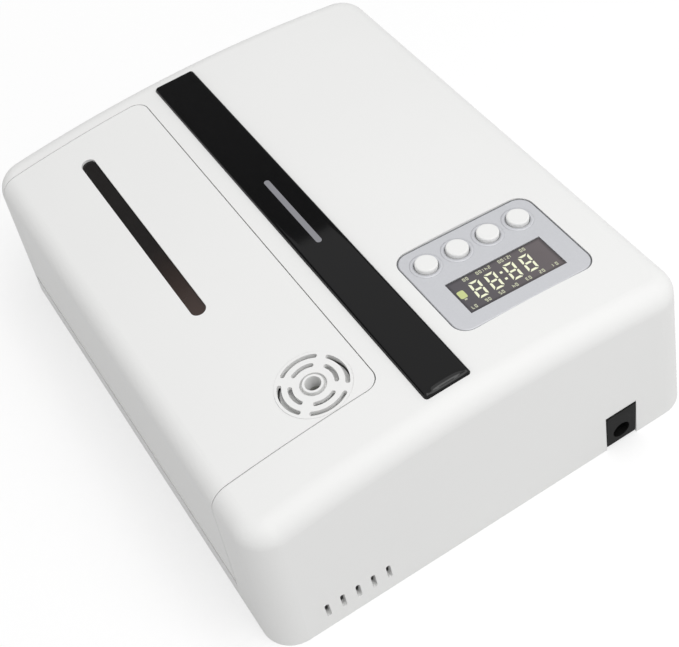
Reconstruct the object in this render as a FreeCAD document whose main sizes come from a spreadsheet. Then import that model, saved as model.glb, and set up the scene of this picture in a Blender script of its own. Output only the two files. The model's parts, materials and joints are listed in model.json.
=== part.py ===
import FreeCAD, Part
import math
import os
import Sketcher

# Wall-mount scent diffuser lying on its back, in millimetres.
# X runs across the width, Y along the length (the socket end is at -Y),
# Z is the normal of the front face; the origin is the middle of the back.

SIZES = (
    ("body_width", 159.0, "outer width at the back edge"),
    ("body_length", 200.0, "outer length at the back edge"),
    ("crown_height", 62.5, "height of the front face along its middle"),
    ("crown_radius", 500.0, "radius of the crowned front across the width"),
    ("draft_angle", 2.5, "lean of the four side walls"),
    ("corner_radius", 10.5, "upright corner edges"),
    ("edge_radius", 7.5, "rounding between front and side walls"),
    ("wall", 2.5, "thickness of shell and door"),
    ("fit_gap", 0.3, "room between fixed neighbours"),
    ("seam_gap", 0.35, "seam between door and shell"),
    ("rear_thickness", 2.5, "thickness of the rear cover"),
    ("post_inset_x", 11.5, "screw posts in from the side walls"),
    ("post_inset_y", 8.3, "screw posts in from the end walls"),
    ("post_radius", 3.5, "screw posts"),
    ("screw_head", 2.7, "head radius of the case screws"),
    ("screw_head_depth", 1.5, "head height of the case screws"),
    ("screw_shank", 1.25, "shank radius of the case screws"),
    ("screw_length", 11.0, "shank length of the case screws"),
    ("recess_span", 1.1, "arms of a cross recess, in head radii"),
    ("recess_width", 0.3, "width of a cross recess, in head radii"),
    ("recess_depth", 0.6, "depth of a cross recess, in head heights"),
    ("door_right", 17.66, "door seam left of the middle"),
    ("door_near", 24.7, "door seam in from the socket end"),
    ("door_far", 12.7, "door seam in from the other end"),
    ("door_corner", 5.0, "free corners of the door"),
    ("hinge_height", 11.0, "hinge axis above the back"),
    ("hinge_depth", 2.95, "hinge axis inside the left wall"),
    ("barrel_radius", 2.8, "rolled lower edge of the door"),
    ("barrel_room", 0.55, "room below the rolled edge"),
    ("pin_radius", 1.0, "hinge pins"),
    ("pin_grip", 5.0, "length of a hinge pin in the door and in its lug"),
    ("run_gap", 0.05, "running clearance of the hinge pins"),
    ("lug_size", 8.0, "height of the hinge lugs"),
    ("rib", 2.0, "thickness of ribs and partitions"),
    ("rest_width", 3.0, "ledge that the closed door rests over"),
    ("magnet_radius", 3.0, "door magnets and keepers"),
    ("magnet_height", 2.0, "height of a magnet"),
    ("magnet_inset", 4.4, "magnets in from the free edge of the door"),
    ("magnet_spread", 80.0, "distance between the two magnets"),
    ("magnet_drop", 2.3, "boss that carries a magnet"),
    ("magnet_gap", 0.5, "air gap between magnet and keeper"),
    ("window_offset", 47.3, "level window left of the middle"),
    ("window_width", 5.3, "width of the level window"),
    ("window_length", 90.5, "length of the level window"),
    ("window_middle", 28.75, "middle of the level window along the length"),
    ("window_sink", 0.9, "window face below the door face"),
    ("window_flange", 2.4, "window rim behind the door"),
    ("window_plate", 1.5, "thickness of the window rim"),
    ("grille_offset", 33.8, "outlet grille left of the middle"),
    ("grille_near", 12.4, "outlet grille in from the near door seam"),
    ("grille_radius", 12.0, "outlet grille"),
    ("grille_thickness", 1.4, "outlet grille"),
    ("grille_land", 0.75, "seat ring under the grille"),
    ("snug_gap", 0.06, "room around the pressed-in grille"),
    ("slot_width", 1.45, "curved slots of the grille"),
    ("outer_slot", 10.35, "middle radius of the outer slots"),
    ("inner_slot", 7.1, "middle radius of the inner slots"),
    ("outer_span", 75.0, "angle of an outer slot"),
    ("inner_span", 64.0, "angle of an inner slot"),
    ("eye_radius", 4.2, "hole in the middle of the grille"),
    ("tube_radius", 3.3, "outlet tube"),
    ("tube_bore", 2.55, "bore of the outlet tube"),
    ("tube_rise", 0.5, "outlet tube above the grille"),
    ("tube_flange", 5.5, "foot ring of the outlet tube"),
    ("tube_foot", 1.2, "thickness of the foot ring"),
    ("tube_tail", 3.2, "outlet tube below the grille"),
    ("baffle_radius", 10.9, "drip baffle on the outlet tube"),
    ("baffle_drop", 1.8, "drip baffle below the grille"),
    ("baffle_thickness", 0.8, "drip baffle"),
    ("strip_offset", 3.4, "accent strip left of the middle"),
    ("strip_width", 15.7, "accent strip"),
    ("strip_inset", 11.2, "accent strip in from both case ends"),
    ("strip_seat", 1.0, "strip sunk in the shell"),
    ("strip_height", 2.3, "whole height of the strip"),
    ("strip_edge", 1.0, "rounded top edge of the strip"),
    ("strip_corner", 1.2, "rounded corners of the strip"),
    ("bar_width", 2.0, "light bar"),
    ("bar_length", 36.0, "light bar"),
    ("bar_middle", 0.8, "middle of the light bar along the length"),
    ("bar_flange", 1.2, "rim of the light bar under the shell"),
    ("light_drop", 3.4, "light board below the shell"),
    ("board_thickness", 1.6, "circuit boards"),
    ("chip_width", 2.8, "light chips"),
    ("chip_length", 3.5, "light chips"),
    ("chip_pitch", 8.9, "distance between light chips"),
    ("light_board_width", 9.0, "light board"),
    ("light_board_length", 64.0, "light board"),
    ("small_post", 2.6, "posts of the boards"),
    ("small_head", 2.0, "head radius of the board screws"),
    ("small_head_depth", 1.2, "head height of the board screws"),
    ("small_shank", 0.9, "shank radius of the board screws"),
    ("small_length", 4.5, "shank length of the board screws below a post"),
    ("panel_offset", 35.4, "control panel right of the middle"),
    ("panel_near", 43.35, "control panel in from the socket end"),
    ("panel_width", 50.3, "control panel"),
    ("panel_length", 37.9, "control panel"),
    ("panel_corner", 5.0, "control panel corners"),
    ("panel_thickness", 1.2, "control panel"),
    ("panel_edge", 0.4, "rounded edge of the control panel"),
    ("panel_land", 2.0, "seat that the panel is glued on"),
    ("panel_gap", 0.45, "groove around the control panel"),
    ("lens_width", 35.6, "display window"),
    ("lens_length", 14.3, "display window"),
    ("lens_shift", 6.4, "display window from the panel middle"),
    ("lens_sink", 0.25, "display lens below the panel face"),
    ("glass_margin", 2.0, "display glass beyond the window"),
    ("glass_thickness", 2.0, "display glass"),
    ("button_first", 17.7, "first button from the panel middle"),
    ("button_pitch", 11.6, "distance between buttons"),
    ("button_shift", 10.85, "button row from the panel middle"),
    ("button_radius", 3.7, "button caps"),
    ("button_rise", 1.5, "button caps above the panel"),
    ("button_edge", 0.6, "rounded edge of a button cap"),
    ("button_collar", 1.0, "retaining rim of a button"),
    ("button_travel", 0.5, "stroke of a button"),
    ("stem_radius", 1.5, "button stems"),
    ("stem_length", 1.6, "button stems"),
    ("switch_size", 6.0, "square body of a tactile switch"),
    ("switch_height", 3.5, "height of a tactile switch"),
    ("plunger_radius", 1.7, "switch plungers"),
    ("plunger_length", 2.0, "switch plungers"),
    ("board_depth", 8.5, "control board below the panel face"),
    ("board_width", 58.0, "control board"),
    ("board_length", 38.0, "control board"),
    ("board_post_x", 26.5, "board posts from the panel middle"),
    ("board_post_y", 15.6, "board posts from the panel middle"),
    ("plug_spread", 16.0, "board connectors from the panel middle"),
    ("plug_shift", 9.0, "board connectors from the panel middle"),
    ("plug_height", 5.0, "board connectors"),
    ("plug_width", 7.0, "board connectors"),
    ("plug_length", 5.5, "board connectors"),
    ("socket_inset", 28.8, "power socket in from the right side"),
    ("socket_width", 11.8, "socket face plate"),
    ("socket_top", 16.2, "upper edge of the face plate"),
    ("socket_bottom", 0.8, "lower edge of the face plate"),
    ("socket_sink", 0.3, "face plate inside the back edge line"),
    ("socket_plate", 2.2, "thickness of the face plate"),
    ("socket_corner", 0.7, "corners of the face plate"),
    ("socket_edge", 0.4, "rounded edge of the face plate"),
    ("socket_body", 9.0, "width of the socket body"),
    ("socket_depth", 11.0, "depth of the socket body"),
    ("socket_body_top", 13.5, "height of the socket body"),
    ("socket_axis", 6.2, "plug axis above the back"),
    ("socket_mouth", 3.2, "mouth radius"),
    ("socket_bore", 2.85, "barrel radius"),
    ("socket_hole", 9.0, "depth of the barrel"),
    ("contact_radius", 1.0, "centre contact"),
    ("contact_length", 7.6, "centre contact"),
    ("contact_round", 0.8, "rounded tip of the centre contact"),
    ("guide_length", 7.7, "ribs beside the socket body"),
    ("guide_height", 9.5, "ribs beside the socket body"),
    ("vent_first", 38.6, "first cooling slot left of the middle"),
    ("vent_pitch", 5.5, "distance between cooling slots"),
    ("vent_width", 1.6, "cooling slots"),
    ("vent_bottom", 5.6, "lower end of the cooling slots"),
    ("vent_top", 12.0, "upper end of the cooling slots"),
    ("key_spread", 94.0, "distance between the two keyholes"),
    ("key_near", 26.0, "entry holes towards the socket end"),
    ("key_entry", 4.2, "radius of the entry hole"),
    ("key_slot", 2.2, "half width of the slot"),
    ("key_travel", 9.0, "length of the slot"),
    ("bottle_floor_room", 4.5, "air between bottle and rear cover"),
    ("bottle_head_room", 3.2, "air between bottle and level window"),
    ("bottle_base", 18.0, "base of the bottle in from the far end"),
    ("bottle_shoulder", 9.0, "shoulder of the bottle"),
    ("bottle_neck", 11.0, "neck radius"),
    ("neck_length", 13.0, "neck of the bottle"),
    ("bottle_wall", 1.6, "wall of the bottle"),
    ("bottle_round", 4.0, "rounded base of the bottle"),
    ("shoulder_round", 5.0, "rounded shoulder of the bottle"),
    ("saddle_height", 15.0, "bottle saddles above the back"),
    ("saddle_width", 36.0, "bottle saddles"),
    ("saddle_near", 4.0, "near bottle saddle along the length"),
    ("saddle_far", 64.0, "far bottle saddle along the length"),
    ("mouth_gap", 0.1, "air between bottle mouth and gasket"),
    ("gasket_height", 1.4, "bottle gasket"),
    ("flange_height", 2.0, "atomizer flange inside the collar"),
    ("collar_radius", 14.5, "screw collar"),
    ("collar_skirt", 10.0, "collar over the neck"),
    ("collar_end", 2.2, "end wall of the collar"),
    ("flute_radius", 1.2, "grip flutes of the collar"),
    ("barrel_tube", 9.0, "atomizer barrel"),
    ("barrel_length", 15.2, "atomizer barrel between chamber and collar"),
    ("chamber_width", 30.0, "atomizer chamber"),
    ("chamber_length", 16.0, "atomizer chamber"),
    ("chamber_height", 24.0, "atomizer chamber"),
    ("chamber_round", 3.0, "atomizer chamber edges"),
    ("stand_width", 18.0, "stand under the atomizer chamber"),
    ("stand_length", 9.6, "stand under the atomizer chamber"),
    ("tower_radius", 6.4, "atomizer outlet"),
    ("tower_bore", 3.0, "atomizer outlet bore"),
    ("cushion_height", 2.2, "outlet gasket"),
    ("cushion_gap", 0.35, "air between outlet gasket and outlet tube"),
    ("dip_radius", 2.0, "dip tube"),
    ("dip_bore", 1.2, "dip tube bore"),
    ("dip_end", 4.0, "dip tube above the bottle base"),
    ("hose_radius", 2.75, "air hose"),
    ("hose_bore", 1.75, "air hose bore and nipples"),
    ("hose_level", 28.0, "air hose above the back"),
    ("hose_bend", 14.0, "bends of the air hose"),
    ("hose_lane", 1.0, "air hose lane right of the middle"),
    ("nipple_length", 7.5, "hose nipples"),
    ("pump_offset", 38.0, "pump axis right of the middle"),
    ("pump_axis", 20.0, "pump axis above the back"),
    ("pump_start", 8.0, "rear of the pump motor along the length"),
    ("motor_radius", 13.0, "pump motor"),
    ("motor_length", 36.0, "pump motor"),
    ("motor_boss", 5.0, "bearing boss of the motor"),
    ("motor_boss_length", 3.0, "bearing boss of the motor"),
    ("head_width", 32.0, "pump head"),
    ("head_length", 28.0, "pump head"),
    ("head_round", 4.0, "pump head edges"),
    ("pad_width", 22.0, "rubber pads under the motor"),
    ("pad_length", 6.0, "rubber pads under the motor"),
    ("strap_width", 9.0, "pump strap"),
    ("strap_thickness", 1.2, "pump strap"),
    ("strap_foot", 9.0, "feet of the strap"),
    ("strap_level", 8.0, "feet of the strap above the back"),
    ("lead_radius", 1.2, "inner leads"),
    ("lead_bend", 6.0, "bends of the inner leads"),
)

doc = FreeCAD.newDocument("scent_diffuser")
sheet = doc.addObject("Spreadsheet::Sheet", "Sizes")


class Dim:
    """A size that carries its number and the formula that it comes from."""

    def __init__(self, number, formula):
        self.number = number
        self.formula = formula

    def __add__(self, other):
        other = as_dim(other)
        return Dim(self.number + other.number, "(%s + %s)" % (self.formula, other.formula))

    def __sub__(self, other):
        other = as_dim(other)
        return Dim(self.number - other.number, "(%s - %s)" % (self.formula, other.formula))

    def __mul__(self, other):
        other = as_dim(other)
        return Dim(self.number * other.number, "(%s * %s)" % (self.formula, other.formula))

    def __truediv__(self, other):
        other = as_dim(other)
        return Dim(self.number / other.number, "(%s / %s)" % (self.formula, other.formula))

    def __radd__(self, other):
        return as_dim(other) + self

    def __rsub__(self, other):
        return as_dim(other) - self

    def __rmul__(self, other):
        return as_dim(other) * self

    def __neg__(self):
        return 0 - self


def as_dim(value):
    """Wrap a plain count or factor as a size."""
    return value if isinstance(value, Dim) else Dim(float(value), repr(float(value)))


def root(value):
    return Dim(math.sqrt(value.number), "sqrt(%s)" % value.formula)


def sine(angle):
    return Dim(math.sin(math.radians(angle.number)), "sin(%s)" % angle.formula)


def cosine(angle):
    return Dim(math.cos(math.radians(angle.number)), "cos(%s)" % angle.formula)


def tangent(angle):
    return Dim(math.tan(math.radians(angle.number)), "tan(%s)" % angle.formula)


def arcsine(ratio):
    return Dim(math.degrees(math.asin(ratio.number)), "(asin(%s) / 1 deg)" % ratio.formula)


class Sizes:
    """The driving sizes by name, each tied to its cell of the sheet."""


size = Sizes()
for row, (alias, number, meaning) in enumerate(SIZES, start=1):
    sheet.set("A%d" % row, alias)
    sheet.set("B%d" % row, str(number))
    sheet.set("C%d" % row, meaning)
    sheet.setAlias("B%d" % row, alias)
doc.recompute()
for alias, _, _ in SIZES:
    setattr(size, alias, Dim(float(sheet.get(alias)), "Sizes." + alias))

UP = FreeCAD.Rotation()
ALONG_X = FreeCAD.Rotation(FreeCAD.Vector(0, 1, 0), 90)
ALONG_Y = FreeCAD.Rotation(FreeCAD.Vector(1, 0, 0), -90)
AGAINST_Y = FreeCAD.Rotation(FreeCAD.Vector(1, 0, 0), 90)
VENTS = 5
BUTTONS = 4
GRILLE_SLOTS = 4
LIGHT_CHIPS = 4
COLLAR_FLUTES = 24
FULL_TURN = 360
SAME = 1e-4
NODES = []


def bind(item, prop, value):
    """Tie a property of an object to the sheet."""
    item.setExpression(prop, as_dim(value).formula)


def place(item, x, y, z, turn=UP):
    """Put an object at a point of the shared frame."""
    item.Placement = FreeCAD.Placement(
        FreeCAD.Vector(as_dim(x).number, as_dim(y).number, as_dim(z).number), turn)
    bind(item, "Placement.Base.x", x)
    bind(item, "Placement.Base.y", y)
    bind(item, "Placement.Base.z", z)
    return item


class Tilt:
    """A local frame on the crowned front, turned about the length axis."""

    def __init__(self, x, y, z, angle):
        self.x, self.y, self.z, self.angle = x, y, z, angle

    def at(self, across, along, up):
        across, along, up = as_dim(across), as_dim(along), as_dim(up)
        return (self.x + across * cosine(self.angle) + up * sine(self.angle),
                self.y + along,
                self.z - across * sine(self.angle) + up * cosine(self.angle))

    def put(self, item, across=0, along=0, up=0):
        place(item, *self.at(across, along, up),
              turn=FreeCAD.Rotation(FreeCAD.Vector(0, 1, 0), self.angle.number))
        bind(item, "Placement.Rotation.Angle", self.angle)
        return item


def node(item, label):
    """Name a finished sub-part."""
    item.Label = label
    NODES.append(item)
    return item


def box(name, width, length, height, x, y, z):
    """A block whose foot is centred on x, y."""
    width, length = as_dim(width), as_dim(length)
    item = doc.addObject("Part::Box", name)
    bind(item, "Length", width)
    bind(item, "Width", length)
    bind(item, "Height", height)
    return place(item, as_dim(x) - width / 2, as_dim(y) - length / 2, z)


def rod(name, radius, height, x, y, z, turn=UP):
    """A round bar that starts at a point."""
    item = doc.addObject("Part::Cylinder", name)
    bind(item, "Radius", radius)
    bind(item, "Height", height)
    return place(item, x, y, z, turn)


def fuse(name, *items):
    item = doc.addObject("Part::MultiFuse", name)
    item.Shapes = list(items)
    return item


def common(name, *items):
    item = doc.addObject("Part::MultiCommon", name)
    item.Shapes = list(items)
    return item


def cut(name, base, *tools):
    item = doc.addObject("Part::Cut", name)
    item.Base = base
    item.Tool = tools[0] if len(tools) == 1 else fuse(name + "_tools", *tools)
    return item


def sketch(body, name, role="XY_Plane", lift=None):
    """A sketch on one of the body's own planes."""
    item = body.newObject("Sketcher::SketchObject", name)
    item.AttachmentSupport = [(next(f for f in body.Origin.OriginFeatures if f.Role == role), "")]
    item.MapMode = "FlatFace"
    if lift is not None:
        bind(item, "AttachmentOffset.Base.z", lift)
    return item


def measure(item, kind, places, value, name):
    """Add a named dimension that follows the sheet."""
    index = item.addConstraint(Sketcher.Constraint(kind, *places, as_dim(value).number))
    item.renameConstraint(index, name)
    bind(item, "Constraints." + name, value)


def close_lines(item, points):
    """Draw a closed outline of straight lines."""
    count = len(points)
    for i in range(count):
        item.addGeometry(Part.LineSegment(points[i], points[(i + 1) % count]), False)
    for i in range(count):
        item.addConstraint(Sketcher.Constraint("Coincident", i, 2, (i + 1) % count, 1))


def rectangle(item, width, length):
    """A rectangle about the sketch origin."""
    half_w, half_l = as_dim(width).number / 2, as_dim(length).number / 2
    close_lines(item, [FreeCAD.Vector(x * half_w, y * half_l, 0)
                       for x, y in ((-1, -1), (1, -1), (1, 1), (-1, 1))])
    for side in (0, 2):
        item.addConstraint(Sketcher.Constraint("Horizontal", side))
    for side in (1, 3):
        item.addConstraint(Sketcher.Constraint("Vertical", side))
    item.addConstraint(Sketcher.Constraint("Symmetric", 0, 1, 2, 1, -1, 1))
    measure(item, "DistanceX", (0, 1, 0, 2), width, "width")
    measure(item, "DistanceY", (1, 1, 1, 2), length, "length")


def circle(item, radius, index=0):
    """A circle about the sketch origin."""
    item.addGeometry(Part.Circle(FreeCAD.Vector(), FreeCAD.Vector(0, 0, 1), as_dim(radius).number), False)
    item.addConstraint(Sketcher.Constraint("Coincident", index, 3, -1, 1))
    measure(item, "Radius", (index,), radius, "radius%d" % index)


def profile(item, points):
    """A closed outline whose every corner is tied to the sheet."""
    close_lines(item, [FreeCAD.Vector(as_dim(x).number, as_dim(y).number, 0) for x, y in points])
    for i, (x, y) in enumerate(points):
        if as_dim(x).number == 0:
            item.addConstraint(Sketcher.Constraint("PointOnObject", i, 1, -2))
        else:
            measure(item, "DistanceX", (-1, 1, i, 1), x, "x%d" % i)
        if as_dim(y).number == 0:
            item.addConstraint(Sketcher.Constraint("PointOnObject", i, 1, -1))
        else:
            measure(item, "DistanceY", (-1, 1, i, 1), y, "y%d" % i)


def pad(body, profile_sketch, length, lean=None):
    item = body.newObject("PartDesign::Pad", profile_sketch.Name + "_pad")
    item.Profile = profile_sketch
    bind(item, "Length", length)
    if lean is not None:
        bind(item, "TaperAngle", lean)
    doc.recompute()
    return item


def round_edges(body, base, radius, wanted, name):
    """Round the edges of the last feature that a test picks."""
    item = body.newObject("PartDesign::Fillet", name)
    item.Base = (base, ["Edge%d" % i for i, edge in enumerate(base.Shape.Edges, start=1) if wanted(edge)])
    bind(item, "Radius", radius)
    doc.recompute()
    return item


def upright(edge):
    ends = [vertex.Point for vertex in edge.Vertexes]
    return len(ends) == 2 and abs(ends[1].z - ends[0].z) > edge.Length / 2


def at_level(level):
    return lambda edge: all(abs(vertex.Z - level) < SAME for vertex in edge.Vertexes)


def slab(name, width, length, height, corner, keep=upright, edge=None):
    """A padded plate with rounded upright corners and, if asked, a rounded top edge."""
    body = doc.addObject("PartDesign::Body", name)
    outline = sketch(body, name + "_outline")
    rectangle(outline, width, length)
    last = pad(body, outline, height)
    last = round_edges(body, last, corner, keep, name + "_corners")
    if edge is not None:
        round_edges(body, last, edge, at_level(as_dim(height).number), name + "_edge")
    return body


def stadium(name, width, length, height):
    """A plate with two round ends along the length."""
    body = doc.addObject("PartDesign::Body", name)
    outline = sketch(body, name + "_outline")
    half_w = as_dim(width).number / 2
    reach = as_dim(length).number / 2 - half_w
    ahead = FreeCAD.Vector(0, reach, 0)
    behind = FreeCAD.Vector(0, -reach, 0)
    axis = FreeCAD.Vector(0, 0, 1)
    right = [FreeCAD.Vector(half_w, end * reach, 0) for end in (-1, 1)]
    left = [FreeCAD.Vector(-half_w, end * reach, 0) for end in (1, -1)]
    outline.addGeometry(Part.LineSegment(*right), False)
    outline.addGeometry(Part.ArcOfCircle(Part.Circle(ahead, axis, half_w), 0, math.pi), False)
    outline.addGeometry(Part.LineSegment(*left), False)
    outline.addGeometry(Part.ArcOfCircle(Part.Circle(behind, axis, half_w), math.pi, 2 * math.pi), False)
    for i in range(4):
        outline.addConstraint(Sketcher.Constraint("Tangent", i, 2, (i + 1) % 4, 1))
    outline.addConstraint(Sketcher.Constraint("Vertical", 0))
    outline.addConstraint(Sketcher.Constraint("Symmetric", 1, 3, 3, 3, -1, 1))
    measure(outline, "Radius", (1,), as_dim(width) / 2, "end")
    measure(outline, "DistanceY", (3, 3, 1, 3), as_dim(length) - width, "reach")
    pad(body, outline, height)
    return body


def turned(name, steps, bore=None):
    """Round steps (radius, start, end) on one axis, in one body."""
    body = doc.addObject("PartDesign::Body", name)
    last = None
    for i, (radius, start, end) in enumerate(steps):
        ring = sketch(body, "%s_step%d" % (name, i), lift=start)
        circle(ring, radius)
        last = pad(body, ring, as_dim(end) - start)
    if bore is not None:
        radius, start, end = bore
        hole = sketch(body, name + "_bore", lift=start)
        circle(hole, radius)
        pocket = body.newObject("PartDesign::Pocket", name + "_hole")
        pocket.Profile = hole
        pocket.Reversed = True
        bind(pocket, "Length", as_dim(end) - start)
        doc.recompute()
    return body


def tube(label, points, bend, radius, bore=None):
    """A bent round tube along straight runs joined by tangent arcs."""
    start = points[0]
    path = [point - start for point in points]
    edges = []
    last = path[0]
    for before, corner, after in zip(path, path[1:], path[2:]):
        inward = (corner - before).normalize()
        outward = (after - corner).normalize()
        half = inward.getAngle(outward) / 2
        reach = bend * math.tan(half)
        enter = corner - inward * reach
        leave = corner + outward * reach
        middle = corner + (outward - inward).normalize() * (bend / math.cos(half) - bend)
        edges.append(Part.LineSegment(last, enter).toShape())
        edges.append(Part.Arc(enter, middle, leave).toShape())
        last = leave
    edges.append(Part.LineSegment(last, path[-1]).toShape())
    wire = Part.Wire(edges)
    heading = path[1] - path[0]
    shape = None
    for ring in (radius, bore):
        if ring:
            section = Part.Wire(Part.makeCircle(ring, path[0], heading))
            solid = wire.makePipeShell([section], True, False)
            shape = solid if shape is None else shape.cut(solid)
    item = doc.addObject("Part::Feature", label)
    item.Shape = shape
    item.Placement = FreeCAD.Placement(start, FreeCAD.Rotation())
    return node(item, label)


def point(x, y, z):
    return FreeCAD.Vector(as_dim(x).number, as_dim(y).number, as_dim(z).number)


def crown_at(x):
    """Height of the front face at a distance from the middle."""
    return size.crown_height - size.crown_radius + root(size.crown_radius * size.crown_radius - x * x)


def case_form(name, inset):
    """The outer form of the case, or the same form moved inwards."""
    body = doc.addObject("PartDesign::Body", name)
    base = sketch(body, name + "_base")
    rectangle(base, size.body_width - 2 * inset, size.body_length - 2 * inset)
    block = pad(body, base, size.crown_height, -size.draft_angle)
    corners = round_edges(body, block, size.corner_radius - inset, upright, name + "_corners")
    crown = sketch(body, name + "_crown", "XZ_Plane")
    drop = size.crown_radius - size.crown_height
    centre = FreeCAD.Vector(0, -drop.number, 0)
    ring = size.crown_radius - inset
    beyond = size.crown_radius + size.crown_height
    for i, radius in enumerate((ring, beyond)):
        crown.addGeometry(Part.Circle(centre, FreeCAD.Vector(0, 0, 1), radius.number), False)
        measure(crown, "Radius", (i,), radius, "radius%d" % i)
    crown.addConstraint(Sketcher.Constraint("PointOnObject", 0, 3, -2))
    crown.addConstraint(Sketcher.Constraint("Coincident", 0, 3, 1, 3))
    measure(crown, "DistanceY", (0, 3, -1, 1), drop, "drop")
    arch = body.newObject("PartDesign::Pocket", name + "_arch")
    arch.Profile = crown
    arch.Type = "ThroughAll"
    arch.Midplane = True
    doc.recompute()
    face = max((f for f in arch.Shape.Faces
                if f.Surface.TypeId == "Part::GeomCylinder" and f.Surface.Radius > size.body_width.number),
               key=lambda f: f.Area)
    round_edges(body, arch, size.edge_radius - inset,
                lambda edge: any(edge.isSame(side) for side in face.Edges), name + "_rim")
    return body


outer = case_form("outer_form", as_dim(0))
inner = case_form("inner_form", size.wall)
liner = case_form("liner_form", size.wall + size.fit_gap)
skin = cut("case_skin", outer, inner)
above = size.crown_height + size.edge_radius
half_width = size.body_width / 2
half_length = size.body_length / 2

# Door region: the left part of the front and of the left wall.
near_seam = size.door_near - half_length
far_seam = half_length - size.door_far
door_length = far_seam - near_seam
door_middle = (far_seam + near_seam) / 2
door_reach = half_width + size.edge_radius - size.door_right
hinge_x = size.hinge_depth - half_width + size.hinge_height * tangent(size.draft_angle)


def right_hand(edge):
    return upright(edge) and edge.CenterOfMass.x > 0


def door_region(name, grow, foot):
    width = door_reach + grow
    region = slab(name, width, door_length + 2 * grow, above - foot, size.door_corner + grow, right_hand)
    return place(region, grow - size.door_right - width / 2, door_middle, foot)


door_solid = door_region("door_region", -size.seam_gap / 2, size.hinge_height)
door_room = door_region("door_room", size.seam_gap / 2,
                        size.hinge_height - size.barrel_radius - size.barrel_room)

# Places shared by several pieces.
post_x = half_width - size.post_inset_x
post_y = half_length - size.post_inset_y
corners = [(side * post_x, end * post_y) for side in (-1, 1) for end in (-1, 1)]
partition_face = size.seam_gap / 2 - size.door_right
magnet_x = -(size.door_right + size.magnet_inset)
magnet_ys = [door_middle + side * size.magnet_spread / 2 for side in (-1, 1)]
boss_level = crown_at(magnet_x) - size.wall - size.magnet_drop
keeper_top = boss_level - size.magnet_height - size.magnet_gap
strip_x = -size.strip_offset
strip_floor = crown_at(size.strip_offset + size.strip_width / 2) - size.strip_seat
strip_top = strip_floor + size.strip_height
ceiling = crown_at(size.strip_offset) - size.wall
light_level = ceiling - size.light_drop
light_post_ys = [size.bar_middle + side * (size.light_board_length / 2 - size.small_post)
                 for side in (-1, 1)]
panel_left = crown_at(size.panel_offset - size.panel_width / 2)
panel_right = crown_at(size.panel_offset + size.panel_width / 2)
panel = Tilt(size.panel_offset, size.panel_near - half_length, (panel_left + panel_right) / 2,
             arcsine((panel_left - panel_right) / size.panel_width))
board_posts = [(side * size.board_post_x, end * size.board_post_y) for side in (-1, 1) for end in (-1, 1)]
button_xs = [i * size.button_pitch - size.button_first for i in range(BUTTONS)]
grille = Tilt(-size.grille_offset, near_seam + size.grille_near, crown_at(size.grille_offset),
              arcsine(-size.grille_offset / size.crown_radius))
window = Tilt(-size.window_offset, size.window_middle, crown_at(size.window_offset),
              arcsine(-size.window_offset / size.crown_radius))
strip_length = size.body_length - 2 * size.strip_inset
socket_x = half_width - size.socket_inset
window_room = size.fit_gap / 3
window_under = window.at(0, 0, -size.wall - window_room - size.window_plate)[2]
bottle_foot = size.rear_thickness + size.bottle_floor_room
bottle_radius = (window_under - size.bottle_head_room - bottle_foot) / 2
bottle_axis = bottle_foot + bottle_radius
bay_left = size.wall - half_width + bottle_axis * tangent(size.draft_angle)
bottle_x = (bay_left + partition_face) / 2
chamber_x = (bottle_x - size.grille_offset) / 2
chamber_near = grille.y
pump_port = size.pump_start + size.motor_length + size.head_length / 2
strap_y = size.pump_start + size.motor_length / 2
strap_screw = size.motor_radius + size.strap_thickness + size.strap_foot / 2
plug_foot = -size.board_depth - size.board_thickness - size.plug_height
plug_places = [(size.plug_spread, -size.plug_shift), (0, size.plug_shift),
               (-size.plug_spread, size.plug_shift)]


def tilted_box(name, width, length, height, across, along, up, frame):
    """A block in a tilted frame whose foot is centred on a point."""
    width, length = as_dim(width), as_dim(length)
    item = doc.addObject("Part::Box", name)
    bind(item, "Length", width)
    bind(item, "Width", length)
    bind(item, "Height", height)
    return frame.put(item, as_dim(across) - width / 2, as_dim(along) - length / 2, up)


def drilled(name, radius, height, across, along, up, frame):
    """A round bar in a tilted frame."""
    item = doc.addObject("Part::Cylinder", name)
    bind(item, "Radius", radius)
    bind(item, "Height", height)
    return frame.put(item, across, along, up)


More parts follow.
